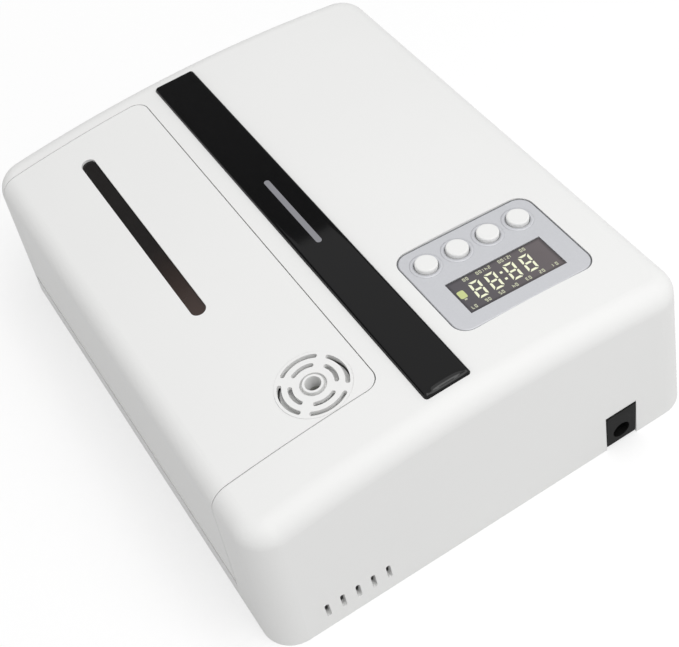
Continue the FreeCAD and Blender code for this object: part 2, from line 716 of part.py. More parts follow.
def front_shell():
    """The white case moulding with its posts, partition, lugs and openings."""
    notch = box("socket_notch", size.socket_width + size.fit_gap, 4 * size.wall,
                size.socket_top + size.fit_gap / 2 + size.wall, socket_x, -half_length, -size.wall)
    frame = cut("shell_frame", skin, door_room, notch)
    inside = []
    for i, (x, y) in enumerate(corners):
        inside.append(rod("post%d" % i, size.post_radius, above - size.rear_thickness,
                          x, y, size.rear_thickness))
    foot = size.rear_thickness + size.fit_gap
    inside.append(box("partition", size.rib, size.body_length, above - foot,
                      partition_face + size.rib / 2, 0, foot))
    lug_width = size.hinge_depth + size.lug_size / 2
    near_lug = near_seam - size.seam_gap / 2 - size.pin_grip / 2 - size.rib / 2
    far_lug = far_seam + size.seam_gap / 2 + size.pin_grip / 2 + size.rib / 2
    for i, y in enumerate((near_lug, far_lug)):
        inside.append(box("lug%d" % i, lug_width, size.pin_grip + size.rib, size.lug_size,
                          hinge_x - size.hinge_depth + lug_width / 2, y,
                          size.hinge_height - size.lug_size / 2))
    kept = common("shell_inside", fuse("shell_parts", *inside), outer)
    rest_length = door_length - 2 * size.door_corner
    rest = common("door_rest",
                  box("rest_block", size.rest_width, rest_length, above - keeper_top,
                      partition_face - size.rest_width / 2, door_middle, keeper_top), liner)
    shelf_width = size.magnet_inset + size.magnet_radius + size.rib
    shelves = [box("shelf%d" % i, shelf_width, 2 * (size.magnet_radius + size.rib),
                   size.magnet_height + size.rib, partition_face - shelf_width / 2, y,
                   keeper_top - size.magnet_height - size.rib) for i, y in enumerate(magnet_ys)]
    light_posts = [rod("light_post%d" % i, size.small_post, ceiling + size.wall / 2 - light_level,
                       strip_x, y, light_level) for i, y in enumerate(light_post_ys)]
    panel_posts = [drilled("board_post%d" % i, size.small_post,
                           size.board_depth - size.panel_thickness - size.fit_gap,
                           x, y, -size.board_depth, panel) for i, (x, y) in enumerate(board_posts)]
    whole = fuse("shell_whole", frame, kept, rest, *shelves, *light_posts, *panel_posts)

    tools = []
    tools.append(place(slab("strip_seat_room", size.strip_width + size.fit_gap, strip_length + size.fit_gap,
                            size.edge_radius, size.strip_corner), strip_x, 0, strip_floor))
    tools.append(place(stadium("bar_room", size.bar_width + size.fit_gap, size.bar_length + size.fit_gap,
                               size.edge_radius), strip_x, size.bar_middle, ceiling - size.wall))
    tools.append(panel.put(slab("panel_seat_room", size.panel_width + 2 * size.panel_gap,
                                size.panel_length + 2 * size.panel_gap, size.edge_radius,
                                size.panel_corner + size.panel_gap), 0, 0, -size.panel_thickness))
    tools.append(panel.put(slab("panel_opening", size.panel_width - 2 * size.panel_land,
                                size.panel_length - 2 * size.panel_land, size.edge_radius,
                                size.panel_corner - size.panel_land),
                           0, 0, size.wall / 2 - size.edge_radius))
    for i in range(VENTS):
        slot = stadium("vent%d" % i, size.vent_width, size.vent_top - size.vent_bottom, 3 * size.wall)
        tools.append(place(slot, -(size.vent_first + i * size.vent_pitch), -half_length + 2 * size.wall,
                           (size.vent_top + size.vent_bottom) / 2, AGAINST_Y))
    reach = door_length + 2 * (size.pin_grip + size.seam_gap)
    tools.append(rod("pin_bore", size.pin_radius + size.run_gap, reach,
                     hinge_x, door_middle - reach / 2, size.hinge_height, ALONG_Y))
    for i, (x, y) in enumerate(corners):
        tools.append(rod("pilot%d" % i, size.screw_shank, size.screw_length + size.rib, x, y, 0))
    for i, y in enumerate(magnet_ys):
        tools.append(rod("keeper_room%d" % i, size.magnet_radius, size.magnet_height + size.rib,
                         magnet_x, y, keeper_top - size.magnet_height))
        tools.append(rod("boss_room%d" % i, size.magnet_radius + size.rib / 2 + size.fit_gap,
                         size.edge_radius, magnet_x, y, keeper_top))
    for i, y in enumerate(light_post_ys):
        tools.append(rod("light_pilot%d" % i, size.small_shank, size.light_drop, strip_x, y,
                         light_level - size.fit_gap))
    for i, (x, y) in enumerate(board_posts):
        tools.append(drilled("board_pilot%d" % i, size.small_shank, size.small_length,
                             x, y, -size.board_depth - size.fit_gap, panel))
    tools.append(rod("hose_hole", size.hose_radius + size.fit_gap, 3 * size.rib, partition_face - size.rib,
                     chamber_near, size.hose_level, ALONG_X))
    return node(cut("front_shell", whole, *tools), "front_shell")


def screw_group(label, places, head, head_height, shank, length, frame=None, turn=UP, start=0):
    """Like screws, head at the start, with a cross recess."""
    solids = []
    for i, (x, y) in enumerate(places):
        name = "%s%d" % (label, i)
        body = turned(name, ((head, 0, head_height), (shank, head_height, head_height + length)))
        long, short = head * size.recess_span, head * size.recess_width
        arms = [box("%s_arm%d" % (name, k), width, depth, head_height * size.recess_depth, 0, 0, 0)
                for k, (width, depth) in enumerate(((long, short), (short, long)))]
        item = cut(name + "_cut", body, *arms)
        solids.append(frame.put(item, x, y, start) if frame else place(item, x, y, start, turn))
    return node(fuse(label, *solids), label)


def rear_cover():
    """The back plate with saddles, posts and keyholes."""
    inset = size.wall + size.fit_gap
    plate = slab("rear_plate", size.body_width - 2 * inset, size.body_length - 2 * inset,
                 size.rear_thickness, size.corner_radius - inset)
    added = []
    for i, y in enumerate((size.saddle_near, size.saddle_far)):
        added.append(box("saddle%d" % i, size.saddle_width, 2 * size.rib, size.saddle_height,
                         bottle_x, y, 0))
    added.append(box("stand", size.stand_width, size.stand_length, bottle_axis - size.chamber_height / 2,
                     chamber_x, chamber_near, 0))
    guide_y = size.socket_sink + size.socket_plate + size.socket_depth / 2 + size.fit_gap - half_length
    for side in (-1, 1):
        added.append(box("guide%d" % (side + 1), size.rib, size.guide_length, size.guide_height,
                         socket_x + side * (size.socket_body / 2 + size.rib / 2 + size.fit_gap / 2),
                         guide_y, 0))
        added.append(rod("strap_post%d" % (side + 1), size.post_radius, size.strap_level,
                         size.pump_offset + side * strap_screw, strap_y, 0))
    tools = [rod("saddle_hollow", bottle_radius + size.fit_gap, size.body_length,
                 bottle_x, -half_length, bottle_axis, ALONG_Y)]
    hollow = 2 * size.rib
    tools.append(box("stand_hollow", size.stand_width - hollow, size.stand_length - hollow, bottle_axis,
                     chamber_x, chamber_near, size.rear_thickness))
    for i, (x, y) in enumerate(corners):
        tools.append(rod("head_room%d" % i, size.screw_head + size.fit_gap,
                         size.screw_head_depth + size.fit_gap, x, y, -size.fit_gap / 2))
        tools.append(rod("shank_room%d" % i, size.screw_shank + size.fit_gap / 2, 2 * size.rear_thickness,
                         x, y, -size.fit_gap))
    for side in (-1, 1):
        x = side * size.key_spread / 2
        tools.append(rod("key_entry%d" % (side + 1), size.key_entry, 3 * size.rear_thickness,
                         x, -size.key_near, -size.rear_thickness))
        slot = stadium("key_slot%d" % (side + 1), 2 * size.key_slot, size.key_travel + 2 * size.key_slot,
                       3 * size.rear_thickness)
        tools.append(place(slot, x, -size.key_near - size.key_travel / 2, -size.rear_thickness))
        tools.append(rod("strap_pilot%d" % (side + 1), size.small_shank, size.strap_level,
                         size.pump_offset + side * strap_screw, strap_y, size.rear_thickness))
    return node(cut("rear_cover", fuse("rear_whole", plate, *added), *tools), "rear_cover")


def oil_door():
    """The door over the oil bay with its rolled hinge edge and magnet bosses."""
    panel_part = common("door_skin", skin, door_solid)
    length = door_length - size.seam_gap
    start = door_middle - length / 2
    barrel = rod("door_barrel", size.barrel_radius, length, hinge_x, start, size.hinge_height, ALONG_Y)
    bosses = [rod("magnet_boss%d" % i, size.magnet_radius + size.rib / 2, size.magnet_drop + size.wall / 2,
                  magnet_x, y, boss_level) for i, y in enumerate(magnet_ys)]
    tools = [window.put(stadium("window_room", size.window_width, size.window_length, 3 * size.wall),
                        0, 0, -2 * size.wall)]
    tools.append(drilled("grille_seat", size.grille_radius + size.snug_gap, size.wall,
                         0, 0, -size.grille_thickness, grille))
    tools.append(drilled("grille_hole", size.grille_radius - size.grille_land, 3 * size.wall,
                         0, 0, -2 * size.wall, grille))
    tools.append(rod("near_pin_bore", size.pin_radius, size.pin_grip, hinge_x, start,
                     size.hinge_height, ALONG_Y))
    tools.append(rod("far_pin_bore", size.pin_radius, size.pin_grip, hinge_x, start + length,
                     size.hinge_height, AGAINST_Y))
    return node(cut("oil_door", fuse("door_whole", panel_part, barrel, *bosses), *tools), "oil_door")


def door_fittings():
    """Hinge pins, magnets, level window, grille and outlet tube."""
    half = (door_length - size.seam_gap) / 2
    grip = size.pin_grip
    pins = [rod("pin_near", size.pin_radius, 2 * grip, hinge_x, door_middle - half - grip,
                size.hinge_height, ALONG_Y),
            rod("pin_far", size.pin_radius, 2 * grip, hinge_x, door_middle + half - grip,
                size.hinge_height, ALONG_Y)]
    node(fuse("hinge_pins", *pins), "hinge_pins")
    for label, level in (("door_magnets", boss_level), ("keeper_discs", keeper_top)):
        discs = [rod("%s%d" % (label, i), size.magnet_radius, size.magnet_height, magnet_x, y,
                     level - size.magnet_height) for i, y in enumerate(magnet_ys)]
        node(fuse(label, *discs), label)

    rim = size.wall + window_room
    lens = stadium("window_lens", size.window_width - window_room, size.window_length - window_room,
                   rim - size.window_sink + size.window_plate / 2)
    rim_plate = stadium("window_rim", size.window_width + 2 * size.window_flange,
                        size.window_length + 2 * size.window_flange, size.window_plate)
    place(lens, 0, 0, -rim - size.window_plate / 2)
    place(rim_plate, 0, 0, -rim - size.window_plate)
    node(window.put(fuse("door_window", lens, rim_plate)), "door_window")

    disc = doc.addObject("PartDesign::Body", "grille_disc")
    plate = sketch(disc, "grille_plate", lift=-size.grille_thickness)
    circle(plate, size.grille_radius)
    circle(plate, size.eye_radius, 1)
    pad(disc, plate, size.grille_thickness)
    for name, radius, span in (("outer", size.outer_slot, size.outer_span),
                               ("inner", size.inner_slot, size.inner_span)):
        shape = sketch(disc, name + "_slot")
        half_slot = size.slot_width / 2
        turn = span / 2 - arcsine(half_slot / radius)
        end_x, end_y = radius * cosine(turn), radius * sine(turn)
        angle = math.radians(turn.number)
        axis = FreeCAD.Vector(0, 0, 1)
        for ring in (radius + half_slot, radius - half_slot):
            whole = Part.Circle(FreeCAD.Vector(), axis, ring.number)
            shape.addGeometry(Part.ArcOfCircle(whole, -angle, angle), False)
        for side in (1, -1):
            tip = FreeCAD.Vector(end_x.number, side * end_y.number, 0)
            begin = angle if side > 0 else math.pi - angle
            end = Part.Circle(tip, axis, half_slot.number)
            shape.addGeometry(Part.ArcOfCircle(end, begin, begin + math.pi), False)
        for arc in (0, 1):
            shape.addConstraint(Sketcher.Constraint("Coincident", arc, 3, -1, 1))
        for first, second in (((0, 2), (2, 1)), ((2, 2), (1, 2)), ((1, 1), (3, 1)), ((3, 2), (0, 1))):
            shape.addConstraint(Sketcher.Constraint("Tangent", *first, *second))
        measure(shape, "Radius", (0,), radius + half_slot, "outside")
        measure(shape, "Radius", (1,), radius - half_slot, "inside")
        measure(shape, "DistanceY", (-1, 1, 2, 3), end_y, "upper_end")
        measure(shape, "DistanceY", (3, 3, -1, 1), end_y, "lower_end")
        pocket = disc.newObject("PartDesign::Pocket", name + "_pocket")
        pocket.Profile = shape
        pocket.Type = "ThroughAll"
        doc.recompute()
        ring = disc.newObject("PartDesign::PolarPattern", name + "_ring")
        ring.Originals = [pocket]
        ring.Axis = (shape, ["N_Axis"])
        ring.Angle = FULL_TURN
        ring.Occurrences = GRILLE_SLOTS
        disc.Tip = ring
        doc.recompute()
    node(grille.put(disc), "outlet_grille")

    under = -size.grille_thickness
    tail = under - size.tube_tail
    baffle = under - size.baffle_drop
    pipe = turned("tube_pipe", ((size.tube_radius, tail, size.tube_rise),
                                (size.tube_flange, under - size.tube_foot, under),
                                (size.baffle_radius, baffle - size.baffle_thickness, baffle)),
                  (size.tube_bore, tail, size.tube_rise))
    node(grille.put(pipe), "outlet_tube")


def strip_parts():
    """Accent strip with its light bar and light board."""
    strip = slab("strip_plate", size.strip_width, strip_length, size.strip_height, size.strip_corner,
                 edge=size.strip_edge)
    place(strip, strip_x, 0, strip_floor)
    slot = place(stadium("bar_slot", size.bar_width + size.fit_gap / 3, size.bar_length + size.fit_gap / 3,
                         3 * size.strip_height), strip_x, size.bar_middle, strip_floor - size.strip_height)
    node(cut("accent_strip", strip, slot), "accent_strip")
    foot = ceiling - size.fit_gap / 3 - size.bar_flange
    bar = stadium("bar_lens", size.bar_width, size.bar_length, strip_top - foot)
    rim = stadium("bar_rim", size.bar_width + 2 * size.rib, size.bar_length + 2 * size.rib, size.bar_flange)
    place(bar, strip_x, size.bar_middle, foot)
    place(rim, strip_x, size.bar_middle, foot)
    node(fuse("light_bar", bar, rim), "light_bar")
    plate = box("light_plate", size.light_board_width, size.light_board_length, size.board_thickness,
                strip_x, size.bar_middle, light_level - size.board_thickness)
    holes = [rod("light_hole%d" % i, size.small_shank + size.fit_gap / 2, 3 * size.board_thickness,
                 strip_x, y, light_level - 2 * size.board_thickness) for i, y in enumerate(light_post_ys)]
    node(cut("light_board", plate, *holes), "light_board")
    chip = foot - size.fit_gap - light_level
    first_chip = size.bar_middle - (LIGHT_CHIPS - 1) * size.chip_pitch / 2
    chips = [box("chip%d" % i, size.chip_width, size.chip_length, chip, strip_x,
                 first_chip + i * size.chip_pitch, light_level) for i in range(LIGHT_CHIPS)]
    node(fuse("light_chips", *chips), "light_chips")
    screw_group("light_screws", [(strip_x, y) for y in light_post_ys], size.small_head,
                size.small_head_depth, size.small_shank, size.small_length,
                start=light_level - size.board_thickness - size.small_head_depth)


def control_parts():
    """Control panel, display, buttons, switches and control board, all in the panel's frame."""
    plate = place(slab("panel_plate", size.panel_width, size.panel_length, size.panel_thickness,
                       size.panel_corner, edge=size.panel_edge), 0, 0, -size.panel_thickness)
    tools = [box("lens_hole", size.lens_width, size.lens_length, 3 * size.panel_thickness,
                 0, -size.lens_shift, -2 * size.panel_thickness)]
    for i, x in enumerate(button_xs):
        tools.append(rod("cap_hole%d" % i, size.button_radius + size.fit_gap, 3 * size.panel_thickness,
                         x, size.button_shift, -2 * size.panel_thickness))
    node(panel.put(cut("control_panel", plate, *tools)), "control_panel")

    floor = -size.panel_thickness
    glass_width = size.lens_width + 2 * size.glass_margin
    glass_length = size.lens_length + 2 * size.glass_margin
    glass_foot = floor - size.glass_thickness
    for label, width, length, foot, top in (
            ("display_lens", size.lens_width - size.fit_gap, size.lens_length - size.fit_gap,
             floor, -size.lens_sink),
            ("display_glass", glass_width, glass_length, glass_foot, floor),
            ("display_backlight", glass_width - size.rib, glass_length - size.rib,
             -size.board_depth, glass_foot)):
        node(tilted_box(label, width, length, top - foot, 0, -size.lens_shift, foot, panel), label)

    collar_top = floor - size.fit_gap
    stem_top = collar_top - size.button_collar
    stem_foot = stem_top - size.stem_length
    plunger_foot = stem_foot - size.plunger_length
    switch_top = size.switch_height - size.board_depth
    switches = []
    for i, x in enumerate(button_xs, start=1):
        cap = turned("cap%d" % i, ((size.button_radius, stem_top, size.button_rise),
                                   (size.button_radius + size.button_collar, stem_top, collar_top),
                                   (size.stem_radius, stem_foot, stem_top)))
        round_edges(cap, cap.Tip, size.button_edge, at_level(size.button_rise.number), "cap%d_edge" % i)
        node(panel.put(cap, x, size.button_shift), "button_%d" % i)
        node(drilled("plunger%d" % i, size.plunger_radius, size.plunger_length, x, size.button_shift,
                     plunger_foot, panel), "switch_plunger_%d" % i)
        block = tilted_box("switch%d" % i, size.switch_size, size.switch_size, size.switch_height,
                           x, size.button_shift, -size.board_depth, panel)
        depth = switch_top - plunger_foot + 2 * size.button_travel
        well = drilled("well%d" % i, size.plunger_radius + size.fit_gap, depth + size.rib,
                       x, size.button_shift, switch_top - depth, panel)
        switches.append(cut("switch_body%d" % i, block, well))
    node(fuse("tact_switches", *switches), "tact_switches")

    plate = tilted_box("board_plate", size.board_width, size.board_length, size.board_thickness,
                       0, 0, -size.board_depth - size.board_thickness, panel)
    holes = [drilled("board_hole%d" % i, size.small_shank + size.fit_gap / 2, 3 * size.board_thickness,
                     x, y, -size.board_depth - 2 * size.board_thickness, panel)
             for i, (x, y) in enumerate(board_posts)]
    node(cut("control_board", plate, *holes), "control_board")
    plugs = [tilted_box("plug%d" % i, size.plug_width, size.plug_length, size.plug_height,
                        x, y, plug_foot, panel) for i, (x, y) in enumerate(plug_places)]
    node(fuse("board_plugs", *plugs), "board_plugs")
    screw_group("board_screws", board_posts, size.small_head, size.small_head_depth, size.small_shank,
                size.small_length, frame=panel,
                start=-size.board_depth - size.board_thickness - size.small_head_depth)


def power_socket():
    """Barrel socket with its face plate and centre contact."""
    face = size.socket_sink - half_length
    back = face + size.socket_plate
    plate = slab("socket_face", size.socket_width, size.socket_top - size.socket_bottom, size.socket_plate,
                 size.socket_corner, edge=size.socket_edge)
    place(plate, socket_x, back, (size.socket_top + size.socket_bottom) / 2, AGAINST_Y)
    block = box("socket_block", size.socket_body, size.socket_depth,
                size.socket_body_top - size.rear_thickness,
                socket_x, back + size.socket_depth / 2, size.rear_thickness)
    mouth = rod("socket_mouth_room", size.socket_mouth, size.socket_plate, socket_x, face,
                size.socket_axis, ALONG_Y)
    barrel = rod("socket_barrel", size.socket_bore, size.socket_hole, socket_x, back,
                 size.socket_axis, ALONG_Y)
    node(cut("power_socket", fuse("socket_whole", plate, block), mouth, barrel), "power_socket")
    contact = turned("contact_rod", ((size.contact_radius, 0, size.contact_length),))
    round_edges(contact, contact.Tip, size.contact_round, at_level(size.contact_length.number), "contact_tip")
    node(place(contact, socket_x, back + size.socket_hole, size.socket_axis, AGAINST_Y),
         "socket_contact")


def pump_parts():
    """Air pump on rubber pads under a steel strap."""
    end = size.pump_start + size.motor_length
    motor = turned("motor", ((size.motor_radius, 0, size.motor_length),
                             (size.motor_boss, -size.motor_boss_length, 0)))
    node(place(motor, size.pump_offset, size.pump_start, size.pump_axis, ALONG_Y), "pump_motor")
    block = slab("head_block", size.head_width, size.head_width, size.head_length, size.head_round)
    place(block, size.pump_offset, end, size.pump_axis, ALONG_Y)
    nipple_x = size.pump_offset - size.head_width / 2 - size.nipple_length
    nipple = rod("pump_nipple", size.hose_bore, size.nipple_length + size.rib,
                 nipple_x, pump_port, size.hose_level, ALONG_X)
    bore = rod("pump_port", size.hose_bore / 2, size.nipple_length + size.head_round,
               nipple_x, pump_port, size.hose_level, ALONG_X)
    node(cut("pump_head", fuse("head_whole", block, nipple), bore), "pump_head")
    pads = [box("pad_block%d" % i, size.pad_width, size.pad_length, size.pump_axis - size.rear_thickness,
                size.pump_offset, y, size.rear_thickness)
            for i, y in enumerate((size.pump_start + size.pad_length, end - size.pad_length))]
    hollow = rod("pad_hollow", size.motor_radius, size.body_length, size.pump_offset, -half_length,
                 size.pump_axis, ALONG_Y)
    node(cut("pump_pads", fuse("pad_blocks", *pads), hollow), "pump_pads")
    outside = size.motor_radius + size.strap_thickness
    drop = size.pump_axis - size.strap_level
    start = strap_y - size.strap_width / 2
    bow = rod("strap_bow", outside, size.strap_width, size.pump_offset, start, size.pump_axis, ALONG_Y)
    legs = box("strap_legs", 2 * outside, size.strap_width, drop, size.pump_offset, strap_y, size.strap_level)
    feet = box("strap_feet", 2 * (outside + size.strap_foot), size.strap_width, size.strap_thickness,
               size.pump_offset, strap_y, size.strap_level)
    arch = rod("strap_hollow", size.motor_radius, 3 * size.strap_width, size.pump_offset,
               start - size.strap_width, size.pump_axis, ALONG_Y)
    gate = box("strap_gate", 2 * size.motor_radius, 3 * size.strap_width, 2 * drop, size.pump_offset, strap_y,
               size.strap_level - drop)
    holes = [rod("strap_hole%d" % (side + 1), size.small_shank + size.fit_gap / 2, 3 * size.strap_thickness,
                 size.pump_offset + side * strap_screw, strap_y, size.strap_level - size.strap_thickness)
             for side in (-1, 1)]
    node(cut("pump_strap", fuse("strap_whole", bow, legs, feet), arch, gate, *holes), "pump_strap")
    screw_group("strap_screws", [(size.pump_offset + side * strap_screw, strap_y) for side in (-1, 1)],
                size.small_head, size.small_head_depth, size.small_shank, size.small_length,
                turn=FreeCAD.Rotation(FreeCAD.Vector(1, 0, 0), 180),
                start=size.strap_level + size.strap_thickness + size.small_head_depth)


def oil_parts():
    """Bottle, collar, atomizer and the seals between them, on the bottle axis."""
    x, z = bottle_x, bottle_axis
    base = half_length - size.bottle_base
    end = chamber_near + size.chamber_length / 2 + size.barrel_length + size.collar_end
    flange = end + size.flange_height
    gasket = flange + size.gasket_height
    height = base - gasket - size.mouth_gap
    shoulder = height - size.neck_length
    straight = shoulder - size.bottle_shoulder
    thin = size.bottle_wall
    bottle = doc.addObject("PartDesign::Body", "bottle")
    outline = sketch(bottle, "bottle_outline", "XZ_Plane")
    profile(outline, ((0, 0), (bottle_radius, 0), (bottle_radius, straight),
                      (size.bottle_neck, shoulder), (size.bottle_neck, height),
                      (size.bottle_neck - thin, height),
                      (size.bottle_neck - thin, shoulder - thin / 2),
                      (bottle_radius - thin, straight - thin / 2),
                      (bottle_radius - thin, thin), (0, thin)))
    turn = bottle.newObject("PartDesign::Revolution", "bottle_turn")
    turn.Profile = outline
    turn.ReferenceAxis = (outline, ["V_Axis"])
    turn.Angle = FULL_TURN
    doc.recompute()

    def ring_at(radius, level):
        return lambda edge: (edge.Curve.TypeId == "Part::GeomCircle"
                             and abs(edge.Curve.Radius - radius) < SAME
                             and abs(edge.Curve.Center.z - level) < SAME)

    last = round_edges(bottle, turn, size.bottle_round, ring_at(bottle_radius.number, 0), "bottle_foot")
    last = round_edges(bottle, last, size.bottle_round - thin,
                       ring_at((bottle_radius - thin).number, thin.number), "bottle_floor")
    last = round_edges(bottle, last, size.shoulder_round,
                       ring_at(bottle_radius.number, straight.number), "bottle_shoulder")
    round_edges(bottle, last, size.shoulder_round - thin,
                ring_at((bottle_radius - thin).number, (straight - thin / 2).number),
                "bottle_inner_shoulder")
    node(place(bottle, x, base, z, AGAINST_Y), "oil_bottle")

    ring = turned("gasket_ring", ((size.bottle_neck, 0, size.gasket_height),),
                  (size.bottle_neck - 2 * thin, 0, size.gasket_height))
    node(place(ring, x, gasket, z, AGAINST_Y), "bottle_gasket")
    deep = size.collar_skirt + size.flange_height + size.gasket_height
    cap = rod("collar_cap", size.collar_radius, deep + size.collar_end, x, end - size.collar_end, z, ALONG_Y)
    skirt = rod("collar_room", size.bottle_neck + size.fit_gap, deep + size.rib, x, end, z, ALONG_Y)
    eye = rod("collar_eye", size.barrel_tube + size.fit_gap, 3 * size.collar_end,
              x, end - 2 * size.collar_end, z, ALONG_Y)
    flutes = []
    for i in range(COLLAR_FLUTES):
        step = as_dim(i * FULL_TURN / COLLAR_FLUTES)
        flutes.append(rod("flute%d" % i, size.flute_radius, 2 * deep, x + size.collar_radius * cosine(step),
                          end - size.collar_end - size.rib, z + size.collar_radius * sine(step), ALONG_Y))
    node(cut("bottle_collar", cap, skirt, eye, *flutes), "bottle_collar")

    chamber_right = chamber_x + size.chamber_width / 2
    tube_end = grille.at(0, 0, -size.grille_thickness - size.tube_tail)[2]
    tower_top = tube_end - size.cushion_gap - size.cushion_height
    disc = rod("atomizer_flange", size.bottle_neck, size.flange_height, x, end, z, ALONG_Y)
    barrel = rod("atomizer_barrel", size.barrel_tube, end - chamber_near, x, chamber_near, z, ALONG_Y)
    block = place(slab("chamber", size.chamber_width, size.chamber_length, size.chamber_height,
                       size.chamber_round, edge=size.chamber_round / 2),
                  chamber_x, chamber_near, z - size.chamber_height / 2)
    tower = rod("tower", size.tower_radius, tower_top - z, -size.grille_offset, chamber_near, z)
    nipple = rod("oil_nipple", size.hose_bore, size.nipple_length + size.rib, chamber_right - size.rib,
                 chamber_near, size.hose_level, ALONG_X)
    outlet = rod("tower_hole", size.tower_bore, above, -size.grille_offset, chamber_near, z)
    inlet = rod("oil_inlet", size.hose_bore / 2, size.nipple_length + size.chamber_width / 2, chamber_x,
                chamber_near, size.hose_level, ALONG_X)
    well = rod("dip_room", size.dip_radius, size.flange_height + size.rib, x, end - size.rib, z, ALONG_Y)
    whole = fuse("atomizer_whole", disc, barrel, block, tower, nipple)
    node(cut("atomizer_body", whole, outlet, inlet, well), "atomizer_body")
    cushion = turned("cushion", ((size.tower_radius, 0, size.cushion_height),),
                     (size.tower_bore, 0, size.cushion_height))
    node(place(cushion, -size.grille_offset, chamber_near, tower_top), "outlet_gasket")
    dip_length = base - thin - size.dip_end - end
    dip = turned("dip", ((size.dip_radius, 0, dip_length),), (size.dip_bore, 0, dip_length))
    node(place(dip, x, end, z, ALONG_Y), "dip_tube")
    lane = size.hose_lane
    hose_start = chamber_right + size.fit_gap
    hose_end = size.pump_offset - size.head_width / 2 - size.fit_gap
    turns = ((hose_start, chamber_near), (lane, chamber_near), (lane, pump_port), (hose_end, pump_port))
    tube("air_hose", [point(across, along, size.hose_level) for across, along in turns],
         size.hose_bend.number, size.hose_radius.number, size.hose_bore.number)


def inner_leads():
    """Leads from socket, pump and light board to the plugs of the control board."""
    below = plug_foot - 2 * size.lead_bend
    socket_back = size.socket_sink - half_length + size.socket_plate + size.socket_depth
    lead_level = (size.socket_body_top + size.rear_thickness) / 2
    ends = [[point(*panel.at(x, y, level)) for level in (below, plug_foot)] for x, y in plug_places]
    socket_start = point(socket_x, socket_back, lead_level)
    socket_turn = point(socket_x, socket_back + 2 * size.lead_bend, lead_level)
    motor_end = size.pump_start - size.motor_boss_length
    motor_start = point(size.pump_offset, motor_end, size.pump_axis)
    motor_turn = point(size.pump_offset, motor_end - 4 * size.lead_bend, size.pump_axis)
    light_y = light_post_ys[0] + 3 * size.small_post
    light_foot = light_level - size.board_thickness
    light_start = point(strip_x, light_y, light_foot)
    light_turn = point(strip_x, light_y, light_foot - 2 * size.lead_bend)
    for label, route in (("power_lead", [socket_start, socket_turn] + ends[0]),
                         ("pump_lead", [motor_start, motor_turn] + ends[1]),
                         ("light_lead", [light_start, light_turn] + ends[2])):
        tube(label, route, size.lead_bend.number, size.lead_radius.number)


def export():
    """Check every object and write one file for each sub-part."""
    doc.recompute()
    for item in doc.Objects:
        if "Invalid" in item.State or "Error" in item.State:
            raise RuntimeError("%s is not sound: %s" % (item.Label, item.State))
    os.makedirs("parts", exist_ok=True)
    for item in NODES:
        if item.Shape.isNull() or not item.Shape.isValid():
            raise RuntimeError("%s has no sound shape" % item.Label)
        item.Shape.exportStep("parts/%s.step" % item.Label)


front_shell()
rear_cover()
screw_group("case_screws", corners, size.screw_head, size.screw_head_depth, size.screw_shank,
            size.screw_length)
oil_door()
door_fittings()
strip_parts()
control_parts()
power_socket()
pump_parts()
oil_parts()
inner_leads()
export()
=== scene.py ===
import json
import math

import bmesh
import bpy
from bpy.props import FloatProperty, FloatVectorProperty, PointerProperty
from mathutils import Matrix, Vector


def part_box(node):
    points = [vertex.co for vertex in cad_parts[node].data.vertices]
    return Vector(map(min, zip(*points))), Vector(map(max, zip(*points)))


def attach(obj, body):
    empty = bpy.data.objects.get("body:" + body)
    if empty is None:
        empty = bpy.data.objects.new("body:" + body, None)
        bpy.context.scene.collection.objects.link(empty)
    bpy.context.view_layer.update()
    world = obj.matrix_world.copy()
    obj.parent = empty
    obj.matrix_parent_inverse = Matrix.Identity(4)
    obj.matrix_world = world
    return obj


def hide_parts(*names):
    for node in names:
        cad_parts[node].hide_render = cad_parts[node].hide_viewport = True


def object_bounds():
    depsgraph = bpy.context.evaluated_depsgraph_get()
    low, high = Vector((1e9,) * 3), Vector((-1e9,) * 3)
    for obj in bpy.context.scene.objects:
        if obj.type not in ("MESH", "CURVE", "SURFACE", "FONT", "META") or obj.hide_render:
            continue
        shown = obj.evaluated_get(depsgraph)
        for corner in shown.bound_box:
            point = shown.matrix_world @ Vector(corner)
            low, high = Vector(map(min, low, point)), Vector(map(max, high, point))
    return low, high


bl_info = {
    "name": "Scent diffuser looks",
    "version": (1, 0, 0),
    "blender": (4, 5, 0),
    "location": "View3D > Sidebar > Diffuser",
    "description": "Finishes, display figures and studio for a wall-mount scent diffuser",
    "category": "Object",
}

MM = 0.001
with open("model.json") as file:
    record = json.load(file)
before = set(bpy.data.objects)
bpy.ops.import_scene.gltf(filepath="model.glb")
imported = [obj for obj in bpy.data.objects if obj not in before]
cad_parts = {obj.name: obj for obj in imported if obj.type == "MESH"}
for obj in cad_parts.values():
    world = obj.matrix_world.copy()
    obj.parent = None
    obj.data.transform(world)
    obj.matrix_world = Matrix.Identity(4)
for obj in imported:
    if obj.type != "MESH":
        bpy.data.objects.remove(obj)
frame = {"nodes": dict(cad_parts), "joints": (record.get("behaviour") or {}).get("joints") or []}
CAD_LOW, CAD_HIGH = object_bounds()

# The view of the photograph: where the lens stands, its axes and its length.
CAMERA_PLACE = (-0.1104, -0.2901, 0.3630)
CAMERA_RIGHT = (0.8423, -0.5176, -0.1505)
CAMERA_UP = (0.4836, 0.6022, 0.6352)
CAMERA_BACK = (-0.2382, -0.6078, 0.7575)
CAMERA_LENS = 69.84
CAMERA_SENSOR = 36.0

# Lamps that face the object: name, place, width and height in metres, and power in watts.
# The strip's rolled end mirrors the two overhead ones, and the small one gives the crescent of
# light there its brighter middle.
LAMPS = (
    ("key_softbox", (0.25, -0.58, 1.12), 0.9, 0.9, 7.55),
    ("overhead_softbox", (0.335, 0.12, 1.19), 0.4, 0.25, 0.42),
    ("overhead_spot", (0.335, 0.02, 1.19), 0.15, 0.22, 0.42),
)

